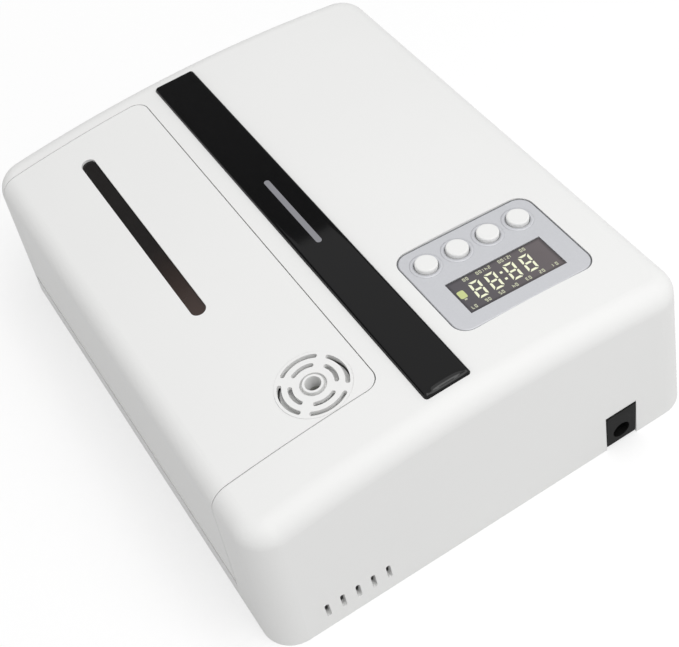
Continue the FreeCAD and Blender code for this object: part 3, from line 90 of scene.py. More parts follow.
# The studio, in metres. The paper turns from partly to wholly white between two distances.
FLOOR_HALF = 30.0
FLOOR_GAP = 0.02 * MM
PAPER_NEAR, PAPER_FAR = 0.12, 0.40
PAPER_NEAR_WHITE = 0.55
WORLD_STRENGTH = 0.62
CARD_DISTANCE, CARD_HALF, CARD_TOP = 1.0, 2.0, 1.16

# Shape of the trims: corners as in the solids, hairline gaps, and the steps of curves.
STRIP_CORNER = 1.2 * MM
STRIP_FAR_ROW = 20 * MM
PANEL_CORNER = 5.0 * MM
INLAY_RISE = 0.03 * MM
# Gap between the panel and the dark ring of painted shade in its groove.
SHADE_RING_GAP = 0.03 * MM
SHARP_ANGLE = math.radians(40)
ARC_STEPS, FACE_STEPS, ROLL_STEPS = 8, 8, 14
ROLL_POWER = 4
BEAD_STEPS, ROUND_STEPS, CORNER_STEPS = 8, 64, 4
BUTTONS = tuple("button_%d" % i for i in range(1, 5))
PLUNGERS = tuple("switch_plunger_%d" % i for i in range(1, 5))

# The display, in millimetres from the middle of the lens as its reader sees it.
DIGIT_PLACES = (-8.45, -2.6, 4.45, 10.2)
COLON_X, COLON_ROWS, COLON_SIZE = 0.82, (-1.5, 1.5), 0.9
COUNT_LAST, COUNT_START, COUNT_PITCH, COUNT_ROW = 7, -14.6, 5.0, 5.3
HOUR_ROW = -5.6
HOUR_MARKS = (("00", -10.2), ("12:00", -3.65), ("24:00", 4.6), ("00", 11.2))
LEVEL_PLACE, LEVEL_SIZE, LEVEL_CORNER = (15.65, -0.85), (2.45, 3.3), 0.6
LEVEL_CAP_PLACE, LEVEL_CAP_SIZE = (15.7, 1.35), (0.9, 0.6)
# Small figures, as shares of their height.
MARK_WIDTH, MARK_PITCH, MARK_STROKE, MARK_GAP = 0.6, 0.82, 0.22, 0.02
MARK_DOT, MARK_DOT_RISE = 0.25, 0.25
MARK_DIM = 0.62

# A Mix node that blends colours has its factor at input 0, its colours at inputs 6 and 7 and its
# result at output 2.
COLOUR_BLEND = {"data_type": "RGBA"}
BLENDED = 2
WHITE = (1.0, 1.0, 1.0, 1.0)


def to_linear(hex_colour):
    """Turn an sRGB hex value into linear red, green and blue."""
    channels = [int(hex_colour[i:i + 2], 16) / 255 for i in (1, 3, 5)]
    return tuple(c / 12.92 if c <= 0.04045 else ((c + 0.055) / 1.055) ** 2.4 for c in channels)


def colour_property(name, hex_colour, description):
    """A colour that the user can set, given as sRGB."""
    return FloatVectorProperty(name=name, description=description, subtype="COLOR", size=3,
                               min=0.0, max=1.0, default=to_linear(hex_colour))


def length_property(name, millimetres, description):
    """A length that the user can set, given in millimetres."""
    return FloatProperty(name=name, description=description, unit="LENGTH",
                         default=millimetres * MM)


class DiffuserColours(bpy.types.PropertyGroup):
    """Colours that a user would change."""
    housing: colour_property("Housing", "#E9E9E8", "Moulded ABS of shell, door, cover, buttons")
    strip: colour_property("Accent strip", "#060607", "Black acrylic strip")
    light_bar: colour_property("Light bar", "#89898E", "Frosted light guide")
    window: colour_property("Level window", "#1E1B1A", "Tinted acrylic of the level window")
    panel: colour_property("Control panel", "#C8C9CD", "Silver lacquer of the panel")
    display: colour_property("Display", "#5C585A", "Smoked lens of the display")
    figures: colour_property("Figures", "#DCDEC2", "Lit figures of the display")
    level: colour_property("Level mark", "#BEC688", "Lit level mark of the display")
    socket: colour_property("Socket", "#0C0C0C", "Black nylon of the socket")
    floor: colour_property("Floor", "#DADADA", "Studio floor")


class DiffuserSizes(bpy.types.PropertyGroup):
    """Sizes of the display figures, the trims and the mould grain."""
    digit_width: length_property("Digit width", 3.8, "Width of a display digit")
    digit_height: length_property("Digit height", 7.2, "Height of a display digit")
    digit_slant: length_property("Digit slant", 0.5, "Lean of a digit over its height")
    digit_stroke: length_property("Digit stroke", 0.8, "Width of a digit segment")
    digit_gap: length_property("Digit gap", 0.38, "Gap between two segments")
    mark_height: length_property("Mark height", 1.35, "Height of the small figures")
    figure_depth: length_property("Figure depth", 0.04, "Thickness of the figures on the lens")
    mould_grain: length_property("Mould grain", 0.9, "Grain of the moulded faces")
    strip_rim: length_property("Strip rim", 1.0, "Rounded edge of the accent strip")
    strip_roll: length_property("Strip roll", 2.3, "Length over which the near end rolls down")
    strip_dip: length_property("Strip dip", 0.33, "Drop of the strip's near end")
    bead_inner: length_property("Bead inner radius", 4.1, "Inside of the ring round a button")
    bead_outer: length_property("Bead outer radius", 5.3, "Outside of the ring round a button")
    bead_height: length_property("Bead height", 0.16, "Rise of the ring round a button")
    # The dark ring in the groove round the panel is painted shade: its width, and how far below the
    # panel face it sits.
    shade_ring_width: length_property("Shade width", 0.38, "Shade in the groove round the panel")
    shade_ring_drop: length_property("Shade drop", 0.3, "Top of the seal below the panel face")


def add_node(tree, kind, settings=None, **links):
    """Add one node with its settings; links name a socket and give a value or (node, output)."""
    made = tree.nodes.new(kind)
    for key, value in (settings or {}).items():
        setattr(made, key, value)
    for key, value in links.items():
        socket = made.inputs[int(key[1:]) if key[0] == "_" else key.replace("_", " ")]
        if isinstance(value, tuple) and isinstance(value[0], bpy.types.Node):
            tree.links.new(value[0].outputs[value[1]], socket)
        else:
            socket.default_value = value
    return made


def finish(name, colour, roughness, **sockets):
    """A material whose shader has the plain values of a finish."""
    material = bpy.data.materials.new(name)
    material.use_nodes = True
    tree = material.node_tree
    shader = tree.nodes["Principled BSDF"]
    shader.inputs["Base Color"].default_value = (*colour, 1.0)
    shader.inputs["Roughness"].default_value = roughness
    for key, value in sockets.items():
        shader.inputs[key.replace("_", " ")].default_value = value
    material.diffuse_color = (*colour, 1.0)
    return material, tree, shader


def tone(tree, shader, colour, patch, change, detail=3.0):
    """Cloud the base colour a little, in patches of a given size; gives the coordinates' node."""
    place = add_node(tree, "ShaderNodeTexCoord")
    cloud = add_node(tree, "ShaderNodeTexNoise",
                     Vector=(place, "Object"), Scale=1.0 / patch, Detail=detail)
    dark = tuple(c * (1.0 - change) for c in colour)
    light = tuple(min(1.0, c * (1.0 + change)) for c in colour)
    mix = add_node(tree, "ShaderNodeMix", COLOUR_BLEND,
                   _0=(cloud, "Fac"), _6=(*dark, 1.0), _7=(*light, 1.0))
    tree.links.new(mix.outputs[BLENDED], shader.inputs["Base Color"])
    return place


def grain(tree, shader, place, size, depth, strength):
    """Raise a fine grain from the surface."""
    speck = add_node(tree, "ShaderNodeTexNoise",
                     Vector=(place, "Object"), Scale=1.0 / size, Detail=2.0)
    bump = add_node(tree, "ShaderNodeBump",
                    Strength=strength, Distance=depth, Height=(speck, "Fac"))
    tree.links.new(bump.outputs["Normal"], shader.inputs["Normal"])


def gloss_change(tree, shader, place, size, low, high):
    """Let the gloss wander between two roughness values."""
    cloud = add_node(tree, "ShaderNodeTexNoise",
                     Vector=(place, "Object"), Scale=1.0 / size, Detail=2.0)
    spread = add_node(tree, "ShaderNodeMapRange", Value=(cloud, "Fac"), To_Min=low, To_Max=high)
    tree.links.new(spread.outputs["Result"], shader.inputs["Roughness"])


def moulded_abs(name, colour, size):
    """White ABS from a spark-eroded mould: satin, faintly grained, with a soft broad sheen."""
    # The real grain is under 0.1 mm, too fine to show, so it is drawn as coarse as it needs.
    material, tree, shader = finish(name, colour, roughness=0.56, IOR=1.54,
                                    Specular_IOR_Level=0.3)
    place = tone(tree, shader, colour, patch=55 * MM, change=0.012)
    grain(tree, shader, place, size=size, depth=0.02 * MM, strength=0.12)
    gloss_change(tree, shader, place, size=30 * MM, low=0.52, high=0.60)
    return material


def black_acrylic(name, colour):
    """Polished black acrylic: deep, mirror-like, with a trace of handling haze."""
    material, tree, shader = finish(name, colour, roughness=0.05, IOR=1.49,
                                    Specular_IOR_Level=0.235)
    place = tone(tree, shader, colour, patch=25 * MM, change=0.10)
    gloss_change(tree, shader, place, size=12 * MM, low=0.03, high=0.06)
    return material


def frosted_acrylic(name, colour):
    """Frosted acrylic light guide, unlit: milky grey and matt."""
    # A real frosting is finer than 0.1 mm; it is drawn coarser so that it shows.
    material, tree, shader = finish(name, colour, roughness=0.35, IOR=1.49,
                                    Specular_IOR_Level=0.33)
    place = tone(tree, shader, colour, patch=5 * MM, change=0.06)
    grain(tree, shader, place, size=0.8 * MM, depth=0.01 * MM, strength=0.15)
    return material


def tinted_acrylic(name, colour, node):
    """Smoke-grey window: dark and glossy, browner at the near end where the oil shows through."""
    material, tree, shader = finish(name, colour, roughness=0.12, IOR=1.49,
                                    Transmission_Weight=0.2, Specular_IOR_Level=0.33)
    place = tone(tree, shader, colour, patch=14 * MM, change=0.2)
    gloss_change(tree, shader, place, size=9 * MM, low=0.08, high=0.16)
    clouded = shader.inputs["Base Color"].links[0].from_socket
    near_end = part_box(node)[0][1]
    oil_full, oil_gone, oil_share = near_end + 4 * MM, near_end + 40 * MM, 0.6
    spot = add_node(tree, "ShaderNodeSeparateXYZ", Vector=(place, "Object"))
    oil = add_node(tree, "ShaderNodeMapRange", Value=(spot, "Y"),
                   From_Min=oil_full, From_Max=oil_gone, To_Min=oil_share, To_Max=0.0)
    mix = add_node(tree, "ShaderNodeMix", COLOUR_BLEND,
                   _0=(oil, "Result"), _7=(*to_linear("#4E3A32"), 1.0))
    tree.links.new(clouded, mix.inputs[6])
    tree.links.new(mix.outputs[BLENDED], shader.inputs["Base Color"])
    return material


def silver_lacquer(name, colour):
    """Silver lacquer on the panel: fine aluminium flake in a satin film."""
    # Real flake is about 0.03 mm across; it is drawn coarser so that it shows.
    material, tree, shader = finish(name, colour, roughness=0.38, Metallic=0.15, IOR=1.5)
    place = tone(tree, shader, colour, patch=0.7 * MM, change=0.035, detail=1.0)
    grain(tree, shader, place, size=0.9 * MM, depth=0.01 * MM, strength=0.10)
    return material


def smoked_lens(name, colour, node):
    """Smoked acrylic over the display: glossy, with painted shade round its sunk rim, lighter and
    browner towards one end.
    """
    material, tree, shader = finish(name, colour, roughness=0.18, IOR=1.49,
                                    Specular_IOR_Level=0.33)
    place = tone(tree, shader, colour, patch=12 * MM, change=0.14)
    gloss_change(tree, shader, place, size=6 * MM, low=0.14, high=0.22)
    clouded = shader.inputs["Base Color"].links[0].from_socket
    low, high = (Vector(corner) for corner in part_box(node))
    rim_width, rim_shade = 1.2 * MM, 0.45
    cool, brown = (0.80, 0.82, 0.88, 1.0), (1.20, 1.13, 1.12, 1.0)
    spot = add_node(tree, "ShaderNodeSeparateXYZ", Vector=(place, "Object"))
    # Distance to the nearest edge of the window, from 0 at the rim to 1 well inside; it sets the
    # painted shade round the sunk rim.
    inside = None
    for axis in (0, 1):
        middle, half = (low[axis] + high[axis]) / 2, (high[axis] - low[axis]) / 2
        off = add_node(tree, "ShaderNodeMath", {"operation": "SUBTRACT"},
                       _0=(spot, "XYZ"[axis]), _1=middle)
        away = add_node(tree, "ShaderNodeMath", {"operation": "ABSOLUTE"}, _0=(off, "Value"))
        clear = add_node(tree, "ShaderNodeMapRange",
                         Value=(away, "Value"), From_Min=half, From_Max=half - rim_width)
        inside = clear if inside is None else add_node(
            tree, "ShaderNodeMath", {"operation": "MINIMUM"}, _0=(inside, 0), _1=(clear, 0))
    # The lens is drawn lighter and browner towards its +x end, and darker and cooler towards the
    # other.
    warm = add_node(tree, "ShaderNodeMapRange",
                    Value=(spot, "X"), From_Min=low.x, From_Max=high.x)
    tint = add_node(tree, "ShaderNodeMix", COLOUR_BLEND, _0=(warm, "Result"), _6=cool, _7=brown)
    # Painted shade: towards the sunk rim the colour falls to rim_shade of itself.
    shade = add_node(tree, "ShaderNodeMapRange",
                     Value=(inside, 0), To_Min=rim_shade, To_Max=1.0)
    for factor in ((tint, BLENDED), (shade, "Result")):
        product = add_node(tree, "ShaderNodeVectorMath", {"operation": "MULTIPLY"}, _1=factor)
        tree.links.new(clouded, product.inputs[0])
        clouded = product.outputs["Vector"]
    tree.links.new(clouded, shader.inputs["Base Color"])
    return material


def lit_ink(name, colour, strength):
    """A lit liquid crystal figure: flat pale glow, a little uneven from the backlight."""
    material, tree, shader = finish(name, colour, roughness=0.4, Emission_Strength=strength,
                                    Emission_Color=(*colour, 1.0))
    tone(tree, shader, colour, patch=6 * MM, change=0.08)
    return material


def cast_plastic(name, colour, roughness, size, change=0.05, **sockets):
    """Plain moulded engineering plastic: even colour with a slight mould grain."""
    # Real mould grain is under 0.1 mm; the sizes given here are coarser so that it shows.
    material, tree, shader = finish(name, colour, roughness, IOR=1.52, **sockets)
    place = tone(tree, shader, colour, patch=10 * MM, change=change)
    grain(tree, shader, place, size=size, depth=0.02 * MM, strength=0.15)
    return material


def clear_bottle(name, colour):
    """Blown PET bottle: clear with a faint amber cast, slightly wavy wall."""
    material, tree, shader = finish(name, colour, roughness=0.08, IOR=1.57,
                                    Transmission_Weight=0.85)
    place = tone(tree, shader, colour, patch=30 * MM, change=0.05)
    grain(tree, shader, place, size=18 * MM, depth=0.15 * MM, strength=0.2)
    return material


def soft_rubber(name, colour, roughness):
    """Rubber or silicone: dull, faintly dusty."""
    # Real dust and grain are under 0.1 mm; they are drawn coarser so that they show.
    material, tree, shader = finish(name, colour, roughness, IOR=1.5)
    place = tone(tree, shader, colour, patch=4 * MM, change=0.12)
    grain(tree, shader, place, size=0.8 * MM, depth=0.02 * MM, strength=0.2)
    return material


def plated_metal(name, colour, roughness, size):
    """Plated metal: bright, with a faint unevenness left by rolling and plating."""
    # The real unevenness is under 0.1 mm; the sizes given here are coarser so that it shows.
    material, tree, shader = finish(name, colour, roughness, Metallic=1.0)
    place = tone(tree, shader, colour, patch=6 * MM, change=0.06)
    grain(tree, shader, place, size=size, depth=0.01 * MM, strength=0.2)
    gloss_change(tree, shader, place, size=3 * MM, low=roughness * 0.8, high=roughness * 1.25)
    return material


def circuit_board(name, colour):
    """Glass epoxy board under green solder mask: glossy, with the weave showing faintly."""
    # Real glass cloth has threads of about 0.4 mm; the weave is drawn at twice that to show.
    weave_size, weave_dark = 0.8 * MM, 0.86
    material, tree, shader = finish(name, colour, roughness=0.3, IOR=1.55)
    place = add_node(tree, "ShaderNodeTexCoord")
    weave = add_node(tree, "ShaderNodeTexChecker",
                     Vector=(place, "Object"), Scale=1.0 / weave_size, Color1=(*colour, 1.0),
                     Color2=(*(c * weave_dark for c in colour), 1.0))
    tree.links.new(weave.outputs["Color"], shader.inputs["Base Color"])
    grain(tree, shader, place, size=1.2 * MM, depth=0.02 * MM, strength=0.1)
    return material


def dress(material, *nodes):
    """Give CAD nodes their finish."""
    for name in nodes:
        item = frame["nodes"][name]
        item.data.materials.clear()
        item.data.materials.append(material)


class DIFFUSER_OT_housing(bpy.types.Operator):
    """Finish the white shell, door, rear cover, grille and outlet tube, and the level window"""
    bl_idname = "diffuser.housing"
    bl_label = "Housing"

    def execute(self, context):
        colours, sizes = context.scene.diffuser_colours, context.scene.diffuser_sizes
        white = moulded_abs("moulded_abs_white", tuple(colours.housing), sizes.mould_grain)
        dress(white, "front_shell", "oil_door", "rear_cover", "outlet_grille", "outlet_tube")
        smoke = tinted_acrylic("acrylic_smoke_tinted", tuple(colours.window), "door_window")
        dress(smoke, "door_window")
        return {"FINISHED"}


def panel_frame(node):
    """Middle of a tilted plate's face, and the axes across, along and out of it."""
    press = next(j for j in frame["joints"] if j["name"] == "button_1_press")
    out = -Vector(press["axis"]).normalized()
    along = Vector((0.0, 1.0, 0.0))
    across = along.cross(out)
    low, high = (Vector(corner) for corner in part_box(node))
    middle = (low + high) / 2
    top = max(out.dot(vertex.co) for vertex in frame["nodes"][node].data.vertices)
    return middle + out * (top - out.dot(middle)), across, along, out


def riding_piece(name, build, material):
    """Turn finished mesh work into an object that rides on the case."""
    bmesh.ops.recalc_face_normals(build, faces=build.faces)
    mesh = bpy.data.meshes.new(name)
    build.to_mesh(mesh)
    build.free()
    mesh.materials.append(material)
    piece = bpy.data.objects.new(name, mesh)
    bpy.context.collection.objects.link(piece)
    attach(piece, "case")
    return piece


def join_loops(build, first, second):
    """Bridge two closed loops of as many points with four-sided faces."""
    for i in range(len(first)):
        k = (i + 1) % len(first)
        build.faces.new((first[i], first[k], second[k], second[i]))


def swept_ring(build, rings):
    """Join closed loops of points one after the other, the last to the first."""
    loops = [[build.verts.new(point) for point in ring] for ring in rings]
    for first, second in zip(loops, loops[1:] + loops[:1]):
        join_loops(build, first, second)


def smooth_faces(build):
    for face in build.faces:
        face.smooth = True


def rounded_depth(x, y, half, reach, corner, rim):
    """How far a rounded edge lies below the face, at a point of a plate with rounded corners."""
    qx, qy = abs(x) - half + corner, abs(y) - reach + corner
    inward = corner - math.hypot(max(qx, 0.0), max(qy, 0.0)) - min(max(qx, qy), 0.0)
    short = max(0.0, rim - max(inward, 0.0))
    return rim - math.sqrt(rim * rim - short * short)


def rolled_strip(name, sizes, material):
    """The accent strip with its near end rolled down, which catches a crescent of light."""
    low, high = (Vector(corner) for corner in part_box("accent_strip"))
    middle = (low + high) / 2
    half, reach = (high.x - low.x) / 2, (high.y - low.y) / 2
    corner, rim, roll, dip = STRIP_CORNER, sizes.strip_rim, sizes.strip_roll, sizes.strip_dip
    # The light bar stands a hair above the strip, so its top shows as an inlay.
    top = high.z - INLAY_RISE
    arc = [rim * (1 - math.cos(math.pi / 2 * k / ARC_STEPS)) for k in range(ARC_STEPS + 1)]
    ends = arc + [corner]
    near = [rim + roll * k / ROLL_STEPS for k in range(2, ROLL_STEPS + 2)]
    stops = [-reach + d for d in ends + near] + [reach - STRIP_FAR_ROW]
    stops += [reach - d for d in reversed(ends)]
    build = bmesh.new()
    rows = []
    for y in stops:
        short = max(0.0, corner - (reach - abs(y)))
        wide = half - corner + math.sqrt(corner * corner - short * short)
        steps = [wide - d for d in arc]
        face = [(wide - rim) * (k / FACE_STEPS - 1) for k in range(1, 2 * FACE_STEPS)]
        row = [Vector((-wide, y, low.z))]
        for x in [-x for x in steps] + face + list(reversed(steps)):
            start = -reach + rim + roll * (1 - (x / half) ** ROLL_POWER)
            share = min(1.0, max(0.0, (start - y) / roll))
            edge = rounded_depth(x, y, half, reach, corner, rim)
            row.append(Vector((x, y, top - edge - dip * share * share)))
        row.append(Vector((wide, y, low.z)))
        rows.append([build.verts.new((p.x + middle.x, p.y + middle.y, p.z)) for p in row])
    for first, second in zip(rows, rows[1:]):
        join_loops(build, first, second)
    for cap in (rows[0], rows[-1]):
        build.faces.new(cap)
    smooth_faces(build)
    piece = riding_piece(name, build, material)
    piece.data.set_sharp_from_angle(angle=SHARP_ANGLE)
    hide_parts("accent_strip")


class DIFFUSER_OT_strip(bpy.types.Operator):
    """Make the accent strip with its rolled end and finish its light bar"""
    bl_idname = "diffuser.strip"
    bl_label = "Accent strip"

    def execute(self, context):
        colours, sizes = context.scene.diffuser_colours, context.scene.diffuser_sizes
        black = black_acrylic("acrylic_polished_black", tuple(colours.strip))
        dress(black, "accent_strip")
        rolled_strip("accent_strip_rolled", sizes, black)
        dress(frosted_acrylic("acrylic_frosted", tuple(colours.light_bar)), "light_bar")
        return {"FINISHED"}


def button_beads(name, inner, outer, height, material):
    """Low rounded rings that the panel carries round its four buttons."""
    origin, across, along, out = panel_frame("control_panel")
    angles = [math.tau * j / ROUND_STEPS for j in range(ROUND_STEPS)]
    build = bmesh.new()
    for button in BUTTONS:
        low, high = (Vector(corner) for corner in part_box(button))
        middle = (low + high) / 2
        middle += out * out.dot(origin - middle)
        rings = []
        for k in range(BEAD_STEPS + 1):
            share = k / BEAD_STEPS
            radius = inner + (outer - inner) * share
            rise = height * math.sin(math.pi * share)
            rings.append([middle + out * rise
                          + radius * (across * math.cos(t) + along * math.sin(t))
                          for t in angles])
        swept_ring(build, rings)
    smooth_faces(build)
    riding_piece(name, build, material)


def bar_outline(width, height, corner=None):
    """A bar with rounded corners about the origin."""
    radius = min(width, height) / 4 if corner is None else corner
    points = []
    for i, (x, y) in enumerate(((1, 1), (-1, 1), (-1, -1), (1, -1))):
        centre = Vector((x * (width / 2 - radius), y * (height / 2 - radius)))
        for k in range(CORNER_STEPS + 1):
            angle = math.radians(90 * i + 90 * k / CORNER_STEPS)
            points.append(centre + radius * Vector((math.cos(angle), math.sin(angle))))
    return points


def painted_shade_ring(name, width, drop, material):
    """Thin dark ring in the groove round the panel: painted shade that draws the groove's dark
    outline.
    """
    origin, across, along, out = panel_frame("control_panel")
    low, high = (Vector(corner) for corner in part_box("control_panel"))
    half_along = (high.y - low.y) / 2
    vertices = frame["nodes"]["control_panel"].data.vertices
    half_across = max(across.dot(v.co - origin) for v in vertices)
    build = bmesh.new()
    rings = []
    for grow, depth in ((SHADE_RING_GAP, drop), (width, drop), (width, 2 * drop), (SHADE_RING_GAP, 2 * drop)):
        outline = bar_outline(2 * (half_across + grow), 2 * (half_along + grow),
                              PANEL_CORNER + grow)
        rings.append([origin + across * p.x + along * p.y - out * depth for p in outline])
    swept_ring(build, rings)
    riding_piece(name, build, material)


SEGMENTS = ("top", "upper_left", "upper_right", "middle", "lower_left", "lower_right", "bottom")
NUMERALS = {
    "1": ("upper_right", "lower_right"),
    "2": ("top", "upper_right", "middle", "lower_left", "bottom"),
    "3": ("top", "upper_right", "middle", "lower_right", "bottom"),
    "4": ("upper_left", "upper_right", "middle", "lower_right"),
    "5": ("top", "upper_left", "middle", "lower_right", "bottom"),
    "6": ("top", "upper_left", "middle", "lower_left", "lower_right", "bottom"),
    "7": ("top", "upper_right", "lower_right"),
    "8": SEGMENTS,
    "0": tuple(name for name in SEGMENTS if name != "middle"),
}


def segment_outline(segment, width, height, stroke, gap):
    """Mitred outline of one segment of a numeral whose middle is the origin."""
    w, h = width / 2, height / 2
    if segment == "middle":
        tip, shoulder, half = w - stroke / 2 - gap, w - stroke - gap / 2, stroke / 2
        return [Vector(p) for p in ((-tip, 0), (-shoulder, half), (shoulder, half),
                                    (tip, 0), (shoulder, -half), (-shoulder, -half))]
    if segment in ("top", "bottom"):
        outline = [(-w + gap, h), (w - gap, h), (w - stroke - gap, h - stroke),
                   (-w + stroke + gap, h - stroke)]
    else:
        outline = [(w, h - gap), (w, gap), (w - stroke / 2, gap / 2),
                   (w - stroke, stroke / 2 + gap), (w - stroke, h - stroke - gap)]
    across = -1 if segment.endswith("left") else 1
    upward = -1 if segment in ("bottom", "lower_left", "lower_right") else 1
    return [Vector((across * x, upward * y)) for x, y in outline]


def numeral_outlines(figure, width, height, stroke, gap):
    """Outlines of the segments that make a numeral."""
    return [segment_outline(segment, width, height, stroke, gap) for segment in NUMERALS[figure]]


def moved(outline, x, y):
    """An outline shifted by a distance in each direction."""
    return [p + Vector((x, y)) for p in outline]


def flat_figures(name, outlines, depth, material, node):
    """Thin raised figures on the face of a tilted plate, as its reader sees them."""
    origin, across, along, out = panel_frame(node)
    build = bmesh.new()
    for outline in outlines:
        # The reader stands at the far side: right is the panel's left, up is the socket end.
        corners = [build.verts.new(origin - across * p.x - along * p.y) for p in outline]
        raised = bmesh.ops.extrude_face_region(build, geom=[build.faces.new(corners)])
        bmesh.ops.translate(build, vec=out * depth,
                            verts=[g for g in raised["geom"] if isinstance(g, bmesh.types.BMVert)])
    riding_piece(name, build, material)


def small_figures(text, x, y, height):
    """Outlines of a row of small numerals about a point, in the reader's frame."""
    width, pitch = MARK_WIDTH * height, MARK_PITCH * height
    start = x - pitch * (len(text) - 1) / 2
    outlines = []
    for i, figure in enumerate(text):
        if figure == ":":
            dot = bar_outline(MARK_DOT * height, MARK_DOT * height)
            parts = [moved(dot, 0.0, side * MARK_DOT_RISE * height) for side in (-1, 1)]
        else:
            parts = numeral_outlines(figure, width, height,
                                     MARK_STROKE * height, MARK_GAP * height)
        outlines += [moved(outline, start + i * pitch, y) for outline in parts]
    return outlines


class DIFFUSER_OT_panel(bpy.types.Operator):
    """Finish the control panel, its trims, the display parts and the push buttons"""
    bl_idname = "diffuser.panel"
    bl_label = "Control panel"

    def execute(self, context):
        colours, sizes = context.scene.diffuser_colours, context.scene.diffuser_sizes
        lacquer = silver_lacquer("lacquer_silver", tuple(colours.panel))
        dress(lacquer, "control_panel")
        button_beads("button_beads", sizes.bead_inner, sizes.bead_outer, sizes.bead_height, lacquer)
        # Painted shade: a dark grey ring in the groove round the panel stands in for the groove's
        # shadow.
        shade_ring = soft_rubber("groove_shade_paint", to_linear("#6A6B6E"), roughness=0.7)
        painted_shade_ring("painted_shade_ring", sizes.shade_ring_width, sizes.shade_ring_drop, shade_ring)
        lens = smoked_lens("acrylic_smoked_lens", tuple(colours.display), "display_lens")
        dress(lens, "display_lens")
        glass = cast_plastic("glass_liquid_crystal", to_linear("#6E726A"),
                             roughness=0.1, size=2 * MM)
        dress(glass, "display_glass")
        box = cast_plastic("polycarbonate_light_box", to_linear("#E4E2D8"),
                           roughness=0.4, size=1 * MM)
        dress(box, "display_backlight")
        caps = moulded_abs("moulded_abs_caps", tuple(colours.housing), sizes.mould_grain)
        dress(caps, *BUTTONS)
        return {"FINISHED"}


class DIFFUSER_OT_display(bpy.types.Operator):
    """Draw the lit figures on the display"""
    bl_idname = "diffuser.display"
    bl_label = "Display figures"

    def execute(self, context):
        colours, sizes = context.scene.diffuser_colours, context.scene.diffuser_sizes
        dimmed = tuple(c * MARK_DIM for c in colours.figures)
        lit = lit_ink("crystal_lit_figures", tuple(colours.figures), strength=0.2)
        dim = lit_ink("crystal_small_marks", dimmed, strength=0.2)
        level = lit_ink("crystal_level_mark", tuple(colours.level), strength=0.08)
        slant = sizes.digit_slant / sizes.digit_height
        depth = sizes.figure_depth

        def lean(outline, x, y):
            return [Vector((p.x + slant * (p.y + y) + x, p.y + y)) for p in outline]

        digits = []
        for x in DIGIT_PLACES:
            for outline in numeral_outlines("8", sizes.digit_width, sizes.digit_height,
                                            sizes.digit_stroke, sizes.digit_gap):
                digits.append(lean(outline, x * MM, 0.0))
        for y in COLON_ROWS:
            dot = bar_outline(COLON_SIZE * MM, COLON_SIZE * MM)
            digits.append(lean(dot, COLON_X * MM, y * MM))
        flat_figures("display_digits", digits, depth, lit, "display_lens")
        small = []
        for i in range(COUNT_LAST):
            x = COUNT_PITCH * i + COUNT_START
            small += small_figures("0%d" % (i + 1), x * MM, COUNT_ROW * MM, sizes.mark_height)
        for text, x in HOUR_MARKS:
            small += small_figures(text, x * MM, HOUR_ROW * MM, sizes.mark_height)
        flat_figures("display_marks", small, depth, dim, "display_lens")
        block = bar_outline(*(s * MM for s in LEVEL_SIZE), LEVEL_CORNER * MM)
        block = moved(block, *(p * MM for p in LEVEL_PLACE))
        flat_figures("display_level", [block], depth, level, "display_lens")
        cap = bar_outline(*(s * MM for s in LEVEL_CAP_SIZE))
        cap = moved(cap, *(p * MM for p in LEVEL_CAP_PLACE))
        flat_figures("display_level_cap", [cap], depth, dim, "display_lens")
        return {"FINISHED"}


class DIFFUSER_OT_socket(bpy.types.Operator):
    """Finish the power socket and its contact"""
    bl_idname = "diffuser.socket"
    bl_label = "Power socket"

    def execute(self, context):
        colours = context.scene.diffuser_colours
        black = cast_plastic("nylon_black_socket", tuple(colours.socket), roughness=0.55,
                             size=0.9 * MM, change=0.08, Specular_IOR_Level=0.15)
        dress(black, "power_socket")
        nickel = plated_metal("brass_nickel_plated", to_linear("#B9B3A2"),
                              roughness=0.25, size=0.8 * MM)
        dress(nickel, "socket_contact")
        return {"FINISHED"}


